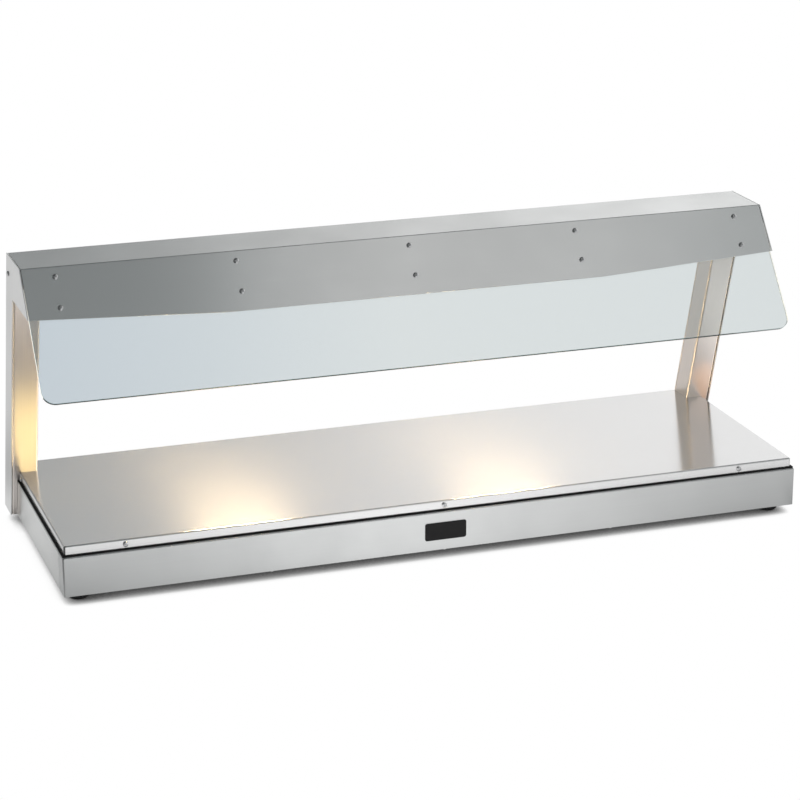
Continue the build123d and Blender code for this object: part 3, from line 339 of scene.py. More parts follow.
def plated(name, dark, pale, rough=(0.22, 0.38)):
    """Plated or turned metal: faint tool marks and a slightly uneven colour."""
    finish, tree, shader = start_finish(name, metallic=1.0)
    marks = speckle(tree, tool_mark_size, detail=4.0)
    cloud = speckle(tree, plating_cloud, detail=3.0, seed=0.2)
    tree.links.new(tinted(tree, cloud, dark, pale), shader.inputs["Base Color"])
    tree.links.new(spread(tree, marks, rough[0], rough[1]), shader.inputs["Roughness"])
    worn = rounded_normal(tree, marks, tool_mark_relief, tool_mark_depth, plated_edge)
    tree.links.new(worn, shader.inputs["Normal"])
    return finish


def new_tree(name, sizes):
    """Geometry tree with a geometry input, named sizes, a seed and a finish."""
    tree = bpy.data.node_groups.new(name, "GeometryNodeTree")
    sockets = tree.interface
    sockets.new_socket("Geometry", in_out="INPUT", socket_type="NodeSocketGeometry")
    for size in sizes:
        sockets.new_socket(size, in_out="INPUT", socket_type="NodeSocketFloat")
    sockets.new_socket("Seed", in_out="INPUT", socket_type="NodeSocketInt")
    sockets.new_socket("Finish", in_out="INPUT", socket_type="NodeSocketMaterial")
    sockets.new_socket("Geometry", in_out="OUTPUT", socket_type="NodeSocketGeometry")
    return tree, tree.nodes.new("NodeGroupInput").outputs


def close_tree(tree, geometry, finish, smooth_below=0.6):
    """Ends a tree: real meshes, smooth over shallow angles, in one finish."""
    real = add_node(tree, "GeometryNodeRealizeInstances", {0: geometry}).outputs[0]
    angle = add_node(tree, "GeometryNodeInputMeshEdgeAngle").outputs[0]
    shallow = math_node(tree, "LESS_THAN", angle, smooth_below)
    faces = add_node(tree, "GeometryNodeSetShadeSmooth", {0: real, 2: True}, domain="FACE").outputs[0]
    edges = add_node(tree, "GeometryNodeSetShadeSmooth", {0: faces, 2: shallow}, domain="EDGE").outputs[0]
    painted = add_node(tree, "GeometryNodeSetMaterial", {0: edges, "Material": finish}).outputs[0]
    add_node(tree, "NodeGroupOutput", {0: painted})


def placed(name, data):
    """New object in the scene for a mesh, a text, a light or a camera."""
    piece = bpy.data.objects.new(name, data)
    bpy.context.collection.objects.link(piece)
    return piece


def evaluated_mesh(rig):
    """Plain mesh of what an object shows after its modifiers. The object is then removed."""
    evaluated = rig.evaluated_get(bpy.context.evaluated_depsgraph_get())
    mesh = bpy.data.meshes.new_from_object(evaluated)
    bpy.data.objects.remove(rig)
    return mesh


def grown(name, tree, seats, values):
    """Plain mesh piece made by a tree on points, each with its outward direction."""
    mesh = bpy.data.meshes.new(name + "_seats")
    mesh.from_pydata([place for place, outward in seats], [], [])
    outward = mesh.attributes.new("outward", "FLOAT_VECTOR", "POINT")
    outward.data.foreach_set("vector", [part for place, way in seats for part in way])
    rig = placed(name + "_seats", mesh)
    modifier = rig.modifiers.new("tree", "NODES")
    modifier.node_group = tree
    for socket in tree.interface.items_tree:
        if socket.in_out == "INPUT" and socket.name in values:
            modifier[socket.identifier] = values[socket.name]
    rig.update_tag()
    return placed(name, evaluated_mesh(rig))


def pan_blank(tree, radius, height, dome):
    """Plain pan head that stands on Z 0 and falls away towards its rim."""
    cylinder = {"Vertices": 28, "Side Segments": 2, "Fill Segments": 6, "Radius": radius, "Depth": height}
    blank = add_node(tree, "GeometryNodeMeshCylinder", cylinder).outputs[0]
    place = add_node(tree, "GeometryNodeInputPosition").outputs[0]
    x, y, z = add_node(tree, "ShaderNodeSeparateXYZ", {0: place}).outputs
    flat = add_node(tree, "ShaderNodeCombineXYZ", {0: x, 1: y}).outputs[0]
    reach = add_node(tree, "ShaderNodeVectorMath", {0: flat}, operation="LENGTH").outputs["Value"]
    share = math_node(tree, "POWER", math_node(tree, "DIVIDE", reach, radius), 3.0)
    keep = math_node(tree, "SUBTRACT", 1.0, math_node(tree, "MULTIPLY", share, dome))
    lifted = math_node(tree, "ADD", z, math_node(tree, "MULTIPLY", height, 0.5))
    raised = math_node(tree, "MULTIPLY", lifted, keep)
    domed = add_node(tree, "ShaderNodeCombineXYZ", {0: x, 1: y, 2: raised}).outputs[0]
    return add_node(tree, "GeometryNodeSetPosition", {0: blank, "Position": domed}).outputs[0]


def cross_recessed(tree, head, given):
    """Head with two crossed bars cut out of its top."""
    deep = math_node(tree, "MULTIPLY", given["Recess Depth"], 2.0)
    long, wide = given["Recess Length"], given["Recess Width"]
    top = add_node(tree, "ShaderNodeCombineXYZ", {2: given["Head Height"]}).outputs[0]
    cut = add_node(tree, "GeometryNodeMeshBoolean", {"Mesh 1": head}, operation="DIFFERENCE")
    for width, depth in ((long, wide), (wide, long)):
        size = add_node(tree, "ShaderNodeCombineXYZ", {0: width, 1: depth, 2: deep}).outputs[0]
        bar = add_node(tree, "GeometryNodeMeshCube", {"Size": size}).outputs[0]
        bar = add_node(tree, "GeometryNodeTransform", {0: bar, "Translation": top}).outputs[0]
        tree.links.new(bar, cut.inputs["Mesh 2"])
    return cut.outputs[0]


def outward_way(tree):
    """The direction that each point carries."""
    named = {"Name": "outward"}
    return add_node(tree, "GeometryNodeInputNamedAttribute", named, data_type="FLOAT_VECTOR").outputs[0]


def turned_by_chance(tree, seed):
    """Rotation that stands a head on its outward direction, and turns it there by chance."""
    outward = {"Vector": outward_way(tree)}
    stand = add_node(tree, "FunctionNodeAlignRotationToVector", outward, axis="Z").outputs[0]
    chance = add_node(tree, "FunctionNodeRandomValue", {"Seed": seed}, data_type="FLOAT").outputs[1]
    turn = math_node(tree, "MULTIPLY", chance, math.pi / 2)
    roll = add_node(tree, "FunctionNodeAxisAngleToRotation", {"Axis": (0, 0, 1), "Angle": turn}).outputs[0]
    both = {0: stand, 1: roll}
    return add_node(tree, "FunctionNodeRotateRotation", both, rotation_space="LOCAL").outputs[0]


def pan_head_tree():
    """Pan heads with a cross recess, one on each point."""
    sizes = ("Head Radius", "Head Height", "Dome", "Recess Width", "Recess Length", "Recess Depth")
    tree, given = new_tree("pan_head_screws", sizes)
    blank = pan_blank(tree, given["Head Radius"], given["Head Height"], given["Dome"])
    head = cross_recessed(tree, blank, given)
    heads = {"Points": given["Geometry"], "Instance": head}
    heads["Rotation"] = turned_by_chance(tree, given["Seed"])
    heads = add_node(tree, "GeometryNodeInstanceOnPoints", heads).outputs[0]
    close_tree(tree, heads, given["Finish"])
    return tree


def pan_heads(name, seats, seed):
    """Screw heads on their seats, fixed to the frame."""
    values = {"Head Radius": head_radius, "Head Height": head_height, "Dome": head_dome, "Seed": seed}
    values.update({"Recess Width": recess_width, "Recess Length": recess_length})
    values.update({"Recess Depth": recess_depth, "Finish": screw_zinc})
    piece = grown(name, pan_heads_by_tree, seats, values)
    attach(piece, "frame")
    return piece


screw_zinc = plated("screw_zinc", screw_dark, screw_pale)
pan_heads_by_tree = pan_head_tree()
plate_low, plate_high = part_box("hot_plate")
plate_screw_z = plate_high.z - plate_screw_drop
end_screw_y = plate_high.y - end_screw_setback
plate_seats = []
for x in (-plate_screw_spread, 0.0, plate_screw_spread):
    plate_seats.append(((x, plate_low.y, plate_screw_z), (0, -1, 0)))
    plate_seats.append(((x, plate_high.y, plate_screw_z), (0, 1, 0)))
plate_seats.append(((plate_low.x, end_screw_y, plate_screw_z), (-1, 0, 0)))
plate_seats.append(((plate_high.x, end_screw_y, plate_screw_z), (1, 0, 0)))
plate_heads = pan_heads("plate_screw_heads", plate_seats, 3)
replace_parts(plate_heads, "plate_screws")
dress(screw_zinc, "tray_nuts", "foot_inserts", "upright_bolts", "fascia_nuts")

# Badge
# Plain black plate of moulded plastic, stuck to the middle of the front panel. Its face is satin and
# a little uneven.
badge_black = (0.006, 0.006, 0.007, 1.0)
badge_worn = (0.011, 0.011, 0.012, 1.0)
badge_satin = moulded("badge_satin", badge_black, badge_worn, (0.38, 0.48),
                      pores=0.002, relief=0.04, specular_ior_level=0.2)
dress(badge_satin, "badge_plate")

# Feet
# Four black moulded feet on threaded studs, screwed into inserts in the bottom panel to level the
# unit. Matt glass-filled nylon, scuffed a little round the sole.
foot_black = (0.010, 0.010, 0.011, 1.0)
foot_scuffed = (0.045, 0.045, 0.046, 1.0)
foot_nylon = moulded("foot_nylon", foot_black, foot_scuffed, (0.45, 0.65), pores=0.0009, relief=0.2)
dress(foot_nylon, "foot_front_left", "foot_front_right", "foot_back_left", "foot_back_right")

# Thermostat and its knob
# A capillary thermostat behind the rear wall: dark moulded case, copper phial and plated shaft.
# The black knob is pressed on the shaft and has a white pointer line.
case_dark = (0.030, 0.026, 0.022, 1.0)
case_pale = (0.060, 0.052, 0.045, 1.0)
copper_pale = (0.78, 0.42, 0.28, 1.0)
copper_dark = (0.52, 0.25, 0.15, 1.0)
knob_black = (0.010, 0.010, 0.010, 1.0)
knob_worn = (0.028, 0.028, 0.028, 1.0)
print_white = (0.82, 0.82, 0.80, 1.0)
print_cream = (0.72, 0.72, 0.69, 1.0)
pointer_width = 0.0014
pointer_start = 0.006
pointer_stop = 0.0126
pointer_rise = 0.00015
thermostat_case = moulded("thermostat_case", case_dark, case_pale, (0.4, 0.55))
dress(thermostat_case, "thermostat_body")
capillary_copper = plated("capillary_copper", copper_dark, copper_pale, (0.25, 0.45))
dress(capillary_copper, "thermostat_phial")
dress(screw_zinc, "thermostat_shaft")
knob_plastic = moulded("knob_plastic", knob_black, knob_worn, (0.32, 0.45), pores=0.0007, relief=0.12)
dress(knob_plastic, "thermostat_knob")
print_paint = moulded("print_paint", print_cream, print_white, (0.4, 0.5), pores=0.0004, relief=0.05)


def solid_block(name, low, high, finish, bevel):
    """Box between two corners with softened edges."""
    mesh = bpy.data.meshes.new(name)
    shape = bmesh.new()
    bmesh.ops.create_cube(shape, size=1.0)
    for corner in shape.verts:
        for axis in range(3):
            corner.co[axis] = low[axis] if corner.co[axis] < 0 else high[axis]
    edges = shape.edges[:]
    bmesh.ops.bevel(shape, geom=edges, offset=bevel, segments=2, affect="EDGES", profile=0.5)
    shape.to_mesh(mesh)
    shape.free()
    mesh.materials.append(finish)
    return placed(name, mesh)


knob_low, knob_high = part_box("thermostat_knob")
knob_x = (knob_low.x + knob_high.x) / 2
knob_z = (knob_low.z + knob_high.z) / 2
pointer_corner = (knob_x - pointer_width / 2, knob_high.y - pointer_rise, knob_z + pointer_start)
pointer_far = (knob_x + pointer_width / 2, knob_high.y + pointer_rise, knob_z + pointer_stop)
pointer = solid_block("knob_pointer_line", pointer_corner, pointer_far, print_paint, pointer_rise / 2)
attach(pointer, "knob")

# Dial
# Printed ring round the knob: satin aluminium with a black scale, a stroke for every fifteen degrees
# and the numbers 0 to 6, clockwise from straight up as the server sees it.
dial_pale = (0.80, 0.80, 0.79, 1.0)
dial_dark = (0.70, 0.70, 0.69, 1.0)
ink_black = (0.010, 0.010, 0.011, 1.0)
ink_worn = (0.035, 0.035, 0.036, 1.0)
scale_turn = 270.0
scale_strokes = 19
scale_numbers = 7
stroke_radius = 0.0218
stroke_width = 0.0005
stroke_short = 0.0012
stroke_long = 0.0024
print_depth = 0.00012
number_radius = 0.0262
number_size = 0.0046
dial_finish = brushed_steel("dial_aluminium", dial_dark, dial_pale, (0.35, 0.45), across=0.4)
dress(dial_finish, "dial_ring")
scale_ink = moulded("scale_ink", ink_black, ink_worn, (0.4, 0.55), pores=0.0004, relief=0.05)
dial_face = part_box("dial_ring")[1].y


def dial_place(degrees, radius):
    """Point on the dial's face, clockwise from the top as the server sees it."""
    angle = math.radians(degrees)
    return Vector((knob_x - radius * math.sin(angle), dial_face, knob_z + radius * math.cos(angle)))


def stroke_tree():
    """Flat strokes, one on each point, long towards its outward direction."""
    tree, given = new_tree("dial_strokes", ("Width", "Short", "Long", "Depth", "Every"))
    number = add_node(tree, "GeometryNodeInputIndex").outputs[0]
    left = math_node(tree, "MODULO", number, given["Every"])
    major = math_node(tree, "LESS_THAN", left, 0.5)
    extra = math_node(tree, "SUBTRACT", given["Long"], given["Short"])
    length = math_node(tree, "ADD", given["Short"], math_node(tree, "MULTIPLY", major, extra))
    size = {0: given["Width"], 1: given["Depth"], 2: length}
    size = add_node(tree, "ShaderNodeCombineXYZ", size).outputs[0]
    bar = add_node(tree, "GeometryNodeMeshCube", {"Size": (1.0, 1.0, 1.0)}).outputs[0]
    stand = {"Vector": outward_way(tree)}
    stand = add_node(tree, "FunctionNodeAlignRotationToVector", stand, axis="Z", pivot_axis="Y").outputs[0]
    strokes = {"Points": given["Geometry"], "Instance": bar, "Rotation": stand, "Scale": size}
    strokes = add_node(tree, "GeometryNodeInstanceOnPoints", strokes).outputs[0]
    close_tree(tree, strokes, given["Finish"])
    return tree


stroke_seats = []
for step in range(scale_strokes):
    degrees = scale_turn * step / (scale_strokes - 1)
    angle = math.radians(degrees)
    way = (-math.sin(angle), 0.0, math.cos(angle))
    stroke_seats.append((tuple(dial_place(degrees, stroke_radius)), way))
stroke_values = {"Width": stroke_width, "Short": stroke_short, "Long": stroke_long}
stroke_values.update({"Depth": 2 * print_depth, "Every": (scale_strokes - 1) / (scale_numbers - 1)})
stroke_values.update({"Seed": 1, "Finish": scale_ink})
strokes = grown("dial_scale_strokes", stroke_tree(), stroke_seats, stroke_values)
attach(strokes, "frame")


def printed_mark(name, text, size, place, finish, body):
    """Raised print of one mark: a text made mesh, then set in place facing the server."""
    curve = bpy.data.curves.new(name, "FONT")
    curve.body = text
    curve.size = size
    curve.extrude = print_depth
    curve.align_x = "CENTER"
    curve.align_y = "CENTER"
    mesh = evaluated_mesh(placed(name + "_text", curve))
    mesh.transform(place)
    mesh.materials.clear()
    mesh.materials.append(finish)
    piece = placed(name, mesh)
    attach(piece, body)


towards_server = Matrix(((-1, 0, 0, 0), (0, 0, 1, 0), (0, 1, 0, 0), (0, 0, 0, 1)))
for number in range(scale_numbers):
    degrees = scale_turn * number / (scale_numbers - 1)
    place = Matrix.Translation(dial_place(degrees, number_radius)) @ towards_server
    name = f"dial_number_{number}"
    printed_mark(name, str(number), number_size, place, scale_ink, "frame")

# Lamp switch and neon
# A snap-in rocker switch: black case and red rocker with white on and off marks. Beside it is an
# amber neon under a domed lens, lit while the plate heats.
switch_black = (0.012, 0.012, 0.012, 1.0)
switch_worn = (0.025, 0.025, 0.025, 1.0)
rocker_red = (0.42, 0.012, 0.010, 1.0)
rocker_deep = (0.30, 0.008, 0.007, 1.0)
amber_pale = (1.0, 0.42, 0.06, 1.0)
amber_deep = (0.85, 0.26, 0.02, 1.0)
amber_glow = (1.0, 0.35, 0.05, 1.0)
neon_strength = 0.6
mark_size = 0.0058
mark_rise = 0.00022
rocker_tilt = math.radians(8.0)
rocker_middle = 0.0022
mark_reach = 0.0057
switch_plastic = moulded("switch_plastic", switch_black, switch_worn, (0.35, 0.5), pores=0.0006, relief=0.1)
dress(switch_plastic, "lamp_switch_body")
rocker_plastic = moulded("rocker_plastic", rocker_deep, rocker_red, (0.22, 0.32),
                         pores=0.0008, relief=0.04, coat_weight=0.3)
dress(rocker_plastic, "lamp_switch_rocker")
neon_light = {"emission_color": amber_glow, "emission_strength": neon_strength}
neon_lens = moulded("neon_lens", amber_deep, amber_pale, (0.08, 0.16),
                    pores=0.001, relief=0.03, transmission_weight=0.5, **neon_light)
dress(neon_lens, "heat_neon")
switch_joint = next(joint for joint in frame["joints"] if joint["name"] == "lamp_switch_tip")
rocker_pivot = Vector(switch_joint["pos_m"])
for text, side in (("I", 1), ("O", -1)):
    flank = Matrix.Rotation(-side * rocker_tilt, 4, "X") @ Matrix.Translation((0, 0, side * mark_reach))
    face = Matrix.Translation((0, rocker_middle + mark_rise, 0)) @ flank
    place = Matrix.Translation(rocker_pivot) @ Matrix.Rotation(rocker_tilt, 4, "X") @ face @ towards_server
    name = "switch_mark_on" if side > 0 else "switch_mark_off"
    printed_mark(name, text, mark_size, place, print_paint, "rocker")

# Mains entry
# Black nylon gland through the rear wall with a lock nut inside, and a pale terminal block on the
# bottom panel. The gland's mouth is open for the lead.
nylon_black = (0.014, 0.014, 0.015, 1.0)
nylon_grey = (0.032, 0.032, 0.034, 1.0)
block_pale = (0.74, 0.72, 0.66, 1.0)
block_dark = (0.62, 0.59, 0.52, 1.0)
gland_nylon = moulded("gland_nylon", nylon_black, nylon_grey, (0.42, 0.55), pores=0.0008, relief=0.15)
dress(gland_nylon, "cable_gland", "gland_nut")
steatite = moulded("steatite", block_dark, block_pale, (0.45, 0.6), pores=0.0015, relief=0.12)
dress(steatite, "terminal_block", "lamp_connector", "lamp_holders")

# End cheeks
# Flat outer sheets of two-millimetre stainless, upright side and canopy end in one piece, polished
# along the lean of the upright.
upright_slope = 0.285
lean = math.atan(upright_slope)
lean_way = (0.0, -math.sin(lean), math.cos(lean))
cheek_pale = (0.86, 0.865, 0.86, 1.0)
cheek_dark = (0.83, 0.835, 0.83, 1.0)
cheek_roughness = (0.28, 0.34)
cheek_steel = brushed_steel("cheek_steel", cheek_dark, cheek_pale, cheek_roughness,
                            across=0.8, grain=lean_way, turn=lean)
dress(cheek_steel, "left_end_cheek", "right_end_cheek")

# Uprights and rear covers
# Lipped channels folded from stainless, which stand on the plate and lap down past the casing, with
# flat covers screwed on behind. Their satin is coarser, and its colour has a warm cast of painted lamp
# light.
# Warm cast in both colours: painted lamp light, while the cheeks beside them are neutral.
upright_painted_warm_pale = (0.87, 0.815, 0.775, 1.0)
upright_painted_warm_dark = (0.84, 0.785, 0.745, 1.0)
upright_roughness = (0.31, 0.34)
upright_steel_painted_warm = brushed_steel("upright_steel_painted_warm", upright_painted_warm_dark, upright_painted_warm_pale, upright_roughness,
                              across=0.50, grain=lean_way, turn=lean)
dress(upright_steel_painted_warm, "left_upright", "right_upright", "left_upright_cover", "right_upright_cover")
dress(zinc_sheet, "upright_spacers", "canopy_brackets")

# Canopy
# Top, back and sloping fascia folded in one sheet, closed from below by a soffit with the lamp
# openings. Polished along its length.
canopy_pale = (0.81, 0.82, 0.815, 1.0)
canopy_dark = (0.785, 0.795, 0.79, 1.0)
canopy_roughness = (0.20, 0.24)
canopy_steel = brushed_steel("canopy_steel", canopy_dark, canopy_pale, canopy_roughness)
dress(canopy_steel, "canopy_shell", "canopy_soffit", "glass_clamp_bar")

# Cheek, cover and bottom screws
# The same pan heads hold the cheeks to the canopy, the rear covers to the uprights, the soffit to
# the canopy and the bottom panel to the casing.
cheek_screw_drop = 0.036
cheek_screw_behind = 0.021
cover_columns = (0.68025, 0.71575)
cover_rows = (0.1505, 0.29556, 0.44062)
cover_inset = 0.0004
lower_columns = (-0.3315, 0.0, 0.3315)
soffit_screw_inset = 0.008
soffit_screw_z = 0.48062
bottom_screw_inset = 0.0075
cheek_low, cheek_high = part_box("right_end_cheek")
casing_low, casing_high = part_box("base_casing")
casing_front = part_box("front_panel")[0].y


def upright_back(z):
    """Y of the uprights' rear edges at a height."""
    return cheek_high.y - upright_slope * (z - cheek_low.z)


cover_way = Vector((0.0, 1.0, upright_slope)).normalized()
cheek_screw_z = cheek_high.z - cheek_screw_drop
cheek_screw_y = upright_back(cheek_screw_z) - cheek_screw_behind
soffit_screw_y = upright_back(soffit_screw_z) - soffit_screw_inset
cheek_seats = []
cover_seats = []
for side in (-1, 1):
    cheek_seats.append(((side * cheek_high.x, cheek_screw_y, cheek_screw_z), (side, 0, 0)))
    for x in cover_columns:
        for z in cover_rows:
            y = upright_back(z) - cover_inset
            cover_seats.append(((side * x, y, z), tuple(cover_way)))
for x in lower_columns:
    cover_seats.append(((x, soffit_screw_y, soffit_screw_z), (0, 0, -1)))
    for y in (casing_front + bottom_screw_inset, casing_high.y - bottom_screw_inset):
        cover_seats.append(((x, y, casing_low.z), (0, 0, -1)))
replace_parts(pan_heads("cheek_screw_heads", cheek_seats, 5), "cheek_screws")
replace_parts(pan_heads("cover_screw_heads", cover_seats, 7), "cover_screws")

# Glass screen
# Toughened glass, six millimetres thick with rounded lower corners, hung under the fascia. The faces
# are tinted grey-blue, darker towards the left with painted shade, the long edges show the green of
# the iron in it, and the ends are ground and carry a painted glow.
# The left tint is darker and bluer than the right one: painted shade across the screen.
glass_tint_left_painted_shade = (0.56, 0.625, 0.675, 1.0)
glass_tint_right = (0.695, 0.74, 0.745, 1.0)
glass_edge_tint = (0.12, 0.20, 0.19, 1.0)
# The ground ends glow: painted light, since they are no lamp.
glass_end_pale = (1.0, 1.0, 0.98, 1.0)
glass_end_dull = (0.95, 0.96, 0.93, 1.0)
glass_end_painted_glow = (1.0, 0.96, 0.88, 1.0)
glass_end_painted_glow_strength = 0.6
glass_shade_span = (-0.75, -0.05)
glass_smear_size = 0.05
glass_smear_share = (0.45, 0.75)
fascia_angle = math.radians(38.1)
glass_way = Vector((0.0, -math.cos(fascia_angle), math.sin(fascia_angle)))
shadow_tint = (0.90, 0.94, 0.94, 1.0)


def clear_glass(name, left_tint, right_tint, rough, smear):
    """Tinted clear glass that lets lamp light through, with faint smears on its face."""
    finish, tree, shader = start_finish(name, transmission_weight=1.0, ior=1.5)
    coords = add_node(tree, "ShaderNodeTexCoord").outputs["Object"]
    along = add_node(tree, "ShaderNodeSeparateXYZ", {0: coords}).outputs[0]
    # Tint that changes along X; on the screen, its darker left end is painted shade.
    tint = tinted(tree, along, left_tint, right_tint, *glass_shade_span)
    tree.links.new(tint, shader.inputs["Base Color"])
    smears = speckle(tree, glass_smear_size, detail=5.0)
    worked = spread(tree, smears, rough, rough + smear, *glass_smear_share)
    tree.links.new(worked, shader.inputs["Roughness"])
    path = add_node(tree, "ShaderNodeLightPath").outputs
    through = math_node(tree, "MAXIMUM", path["Is Shadow Ray"], path["Is Diffuse Ray"])
    clear = add_node(tree, "ShaderNodeBsdfTransparent", {0: shadow_tint}).outputs[0]
    mix = add_node(tree, "ShaderNodeMixShader", {0: through, 1: shader.outputs[0], 2: clear}).outputs[0]
    tree.links.new(mix, tree.nodes["Material Output"].inputs["Surface"])
    return finish


def merged_copy(name, node):
    """Own copy of a CAD piece's mesh, with its loose triangles joined."""
    mesh = cad[node].data.copy()
    mesh.name = name
    shape = bmesh.new()
    shape.from_mesh(mesh)
    bmesh.ops.remove_doubles(shape, verts=shape.verts, dist=1e-6)
    shape.to_mesh(mesh)
    shape.free()
    return placed(name, mesh)


glass_pane = merged_copy("glass_pane", "glass_screen")
glass_face = clear_glass("glass_face", glass_tint_left_painted_shade, glass_tint_right, rough=0.0, smear=0.03)
glass_edge = clear_glass("glass_edge", glass_edge_tint, glass_edge_tint, rough=0.12, smear=0.1)
# Ground ends with a painted glow in their emission.
end_painted_glow = {"emission_color": glass_end_painted_glow, "emission_strength": glass_end_painted_glow_strength}
ground_end_painted_glow = moulded("glass_ground_end_painted_glow", glass_end_dull, glass_end_pale, (0.45, 0.6),
                     pores=0.0005, relief=0.1, **end_painted_glow)
glass_pane.data.materials.clear()
for finish in (glass_face, glass_edge, ground_end_painted_glow):
    glass_pane.data.materials.append(finish)
for face in glass_pane.data.polygons:
    on_end = abs(face.normal.x) > 0.9
    on_face = abs(face.normal.dot(glass_way)) > 0.9
    face.material_index = 0 if on_face else 2 if on_end else 1
    face.use_smooth = False
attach(glass_pane, "frame")
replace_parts(glass_pane, "glass_screen")

# Glass fixings
# An aluminium bar above the glass packs the clamp out, and nylon bushes round the screws keep them
# off the edges of the holes in the glass.
aluminium_pale = (0.86, 0.86, 0.87, 1.0)
aluminium_dark = (0.74, 0.74, 0.76, 1.0)
bush_pale = (0.80, 0.79, 0.75, 1.0)
bush_dark = (0.72, 0.71, 0.66, 1.0)
bar_aluminium = brushed_steel("bar_aluminium", aluminium_dark, aluminium_pale, (0.3, 0.4), across=0.5)
dress(bar_aluminium, "glass_spacer_bar")
bush_nylon = moulded("bush_nylon", bush_dark, bush_pale, (0.4, 0.5), pores=0.0008, relief=0.08)
dress(bush_nylon, "glass_bushes")

# Fascia screws
# Two rows of five pan heads on the sloping fascia: the upper row holds the spacer bar, and the lower
# row clamps the glass.
fascia_columns = (-0.663, -0.3315, 0.0, 0.3315, 0.663)
fascia_rows = (0.020, 0.080)
canopy_depth = 0.1194
canopy_z = cheek_high.z
crease_y = upright_back(canopy_z) - canopy_depth
fascia_down = Vector((0.0, -math.sin(fascia_angle), -math.cos(fascia_angle)))
fascia_seats = []
for row in fascia_rows:
    for x in fascia_columns:
        seat = Vector((x, crease_y, canopy_z)) + row * fascia_down
        fascia_seats.append((tuple(seat), tuple(glass_way)))
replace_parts(pan_heads("fascia_screw_heads", fascia_seats, 11), "fascia_screws")

# Lamp reflectors
# Folded bright aluminium troughs over the lamps, with the ripple of rolled sheet and a straw tint
# where the heat has been.
mirror_pale = (0.93, 0.91, 0.86, 1.0)
mirror_straw = (0.86, 0.76, 0.58, 1.0)
ripple_size = (0.02, 0.006, 0.02)
heat_tint_size = (0.08, 0.03, 0.03)
mirror_roughness = (0.08, 0.18)
ripple_relief = 0.2
ripple_depth = 0.0008


def reflector_finish():
    """Bright rolled aluminium, rippled and tinted by heat."""
    finish, tree, shader = start_finish("reflector_bright", metallic=1.0)
    ripple = speckle(tree, ripple_size, detail=2.0)
    heat = speckle(tree, heat_tint_size, detail=3.0, seed=0.5)
    tree.links.new(tinted(tree, heat, mirror_pale, mirror_straw), shader.inputs["Base Color"])
    tree.links.new(spread(tree, ripple, *mirror_roughness), shader.inputs["Roughness"])
    tree.links.new(rounded_normal(tree, ripple, ripple_relief, ripple_depth), shader.inputs["Normal"])
    return finish


dress(reflector_finish(), "left_lamp_reflector", "right_lamp_reflector")

# Quartz lamps
# Clear quartz tubes with a coiled tungsten filament and plated end caps, held in steatite holders.
# They are on: the filament glows, and the light leaves through the reflector's mouth.
tube_radius = 0.0055
tube_wall = 0.001
tube_half = 0.086
cap_radius = 0.006
cap_stop = 0.102
pin_radius = 0.004
pin_stop = 0.110
coil_radius = 0.0021
coil_wire = 0.00045
coil_turns = 56.0
coil_half = 0.078
quartz_tint = (0.97, 0.95, 0.92, 1.0)
glow_orange = (1.0, 0.50, 0.16, 1.0)
glow_strength = 14.0
glow_patch = 0.004
filament_grey = (0.25, 0.22, 0.20, 1.0)
filament_roughness = (0.4, 0.6)


def lathed(name, profile, centre, finish, segments=32):
    """Shape turned about the X axis through a centre, from points along it and their radii."""
    mesh = bpy.data.meshes.new(name)
    shape = bmesh.new()
    rings = []
    for along, radius in profile:
        ring = []
        for step in range(segments):
            angle = 2 * math.pi * step / segments
            offset = Vector((along, radius * math.cos(angle), radius * math.sin(angle)))
            ring.append(shape.verts.new(centre + offset))
        rings.append(ring)
    for ring, following in zip(rings, rings[1:]):
        for step in range(segments):
            nearby = (step + 1) % segments
            shape.faces.new((ring[step], ring[nearby], following[nearby], following[step]))
    if profile[0] != profile[-1]:
        shape.faces.new(rings[0])
        shape.faces.new(rings[-1])
    bmesh.ops.remove_doubles(shape, verts=shape.verts, dist=1e-7)
    bmesh.ops.recalc_face_normals(shape, faces=shape.faces[:])
    for face in shape.faces:
        face.smooth = len(face.verts) == 4
    shape.to_mesh(mesh)
    shape.free()
    mesh.materials.append(finish)
    return placed(name, mesh)


def coil_tree():
    """Coiled wire along X through each point."""
    tree, given = new_tree("filament_coil", ("Coil Radius", "Wire Radius", "Turns", "Half Length"))
    long = math_node(tree, "MULTIPLY", given["Half Length"], 2.0)
    coil = {"Resolution": 14, "Rotations": given["Turns"], "Start Radius": given["Coil Radius"]}
    coil.update({"End Radius": given["Coil Radius"], "Height": long})
    line = add_node(tree, "GeometryNodeCurveSpiral", coil).outputs[0]
    back = math_node(tree, "MULTIPLY", given["Half Length"], -1.0)
    start = add_node(tree, "ShaderNodeCombineXYZ", {0: back}).outputs[0]
    laid = {0: line, "Translation": start, "Rotation": (0.0, math.pi / 2, 0.0)}
    laid = add_node(tree, "GeometryNodeTransform", laid).outputs[0]
    round_wire = {"Resolution": 8, "Radius": given["Wire Radius"]}
    ring = add_node(tree, "GeometryNodeCurvePrimitiveCircle", round_wire).outputs[0]
    wire = add_node(tree, "GeometryNodeCurveToMesh", {0: laid, 1: ring, "Fill Caps": True}).outputs[0]
    coils = {"Points": given["Geometry"], "Instance": wire}
    coils = add_node(tree, "GeometryNodeInstanceOnPoints", coils).outputs[0]
    close_tree(tree, coils, given["Finish"], smooth_below=1.2)
    return tree


def glowing_filament():
    """Tungsten wire at working heat, a little uneven along its length."""
    colours = {"base_color": filament_grey, "emission_color": glow_orange}
    finish, tree, shader = start_finish("glowing_filament", **colours)
    uneven = speckle(tree, glow_patch, detail=2.0)
    strength = spread(tree, uneven, 0.8 * glow_strength, 1.2 * glow_strength)
    tree.links.new(strength, shader.inputs["Emission Strength"])
    tree.links.new(spread(tree, uneven, *filament_roughness), shader.inputs["Roughness"])
    return finish


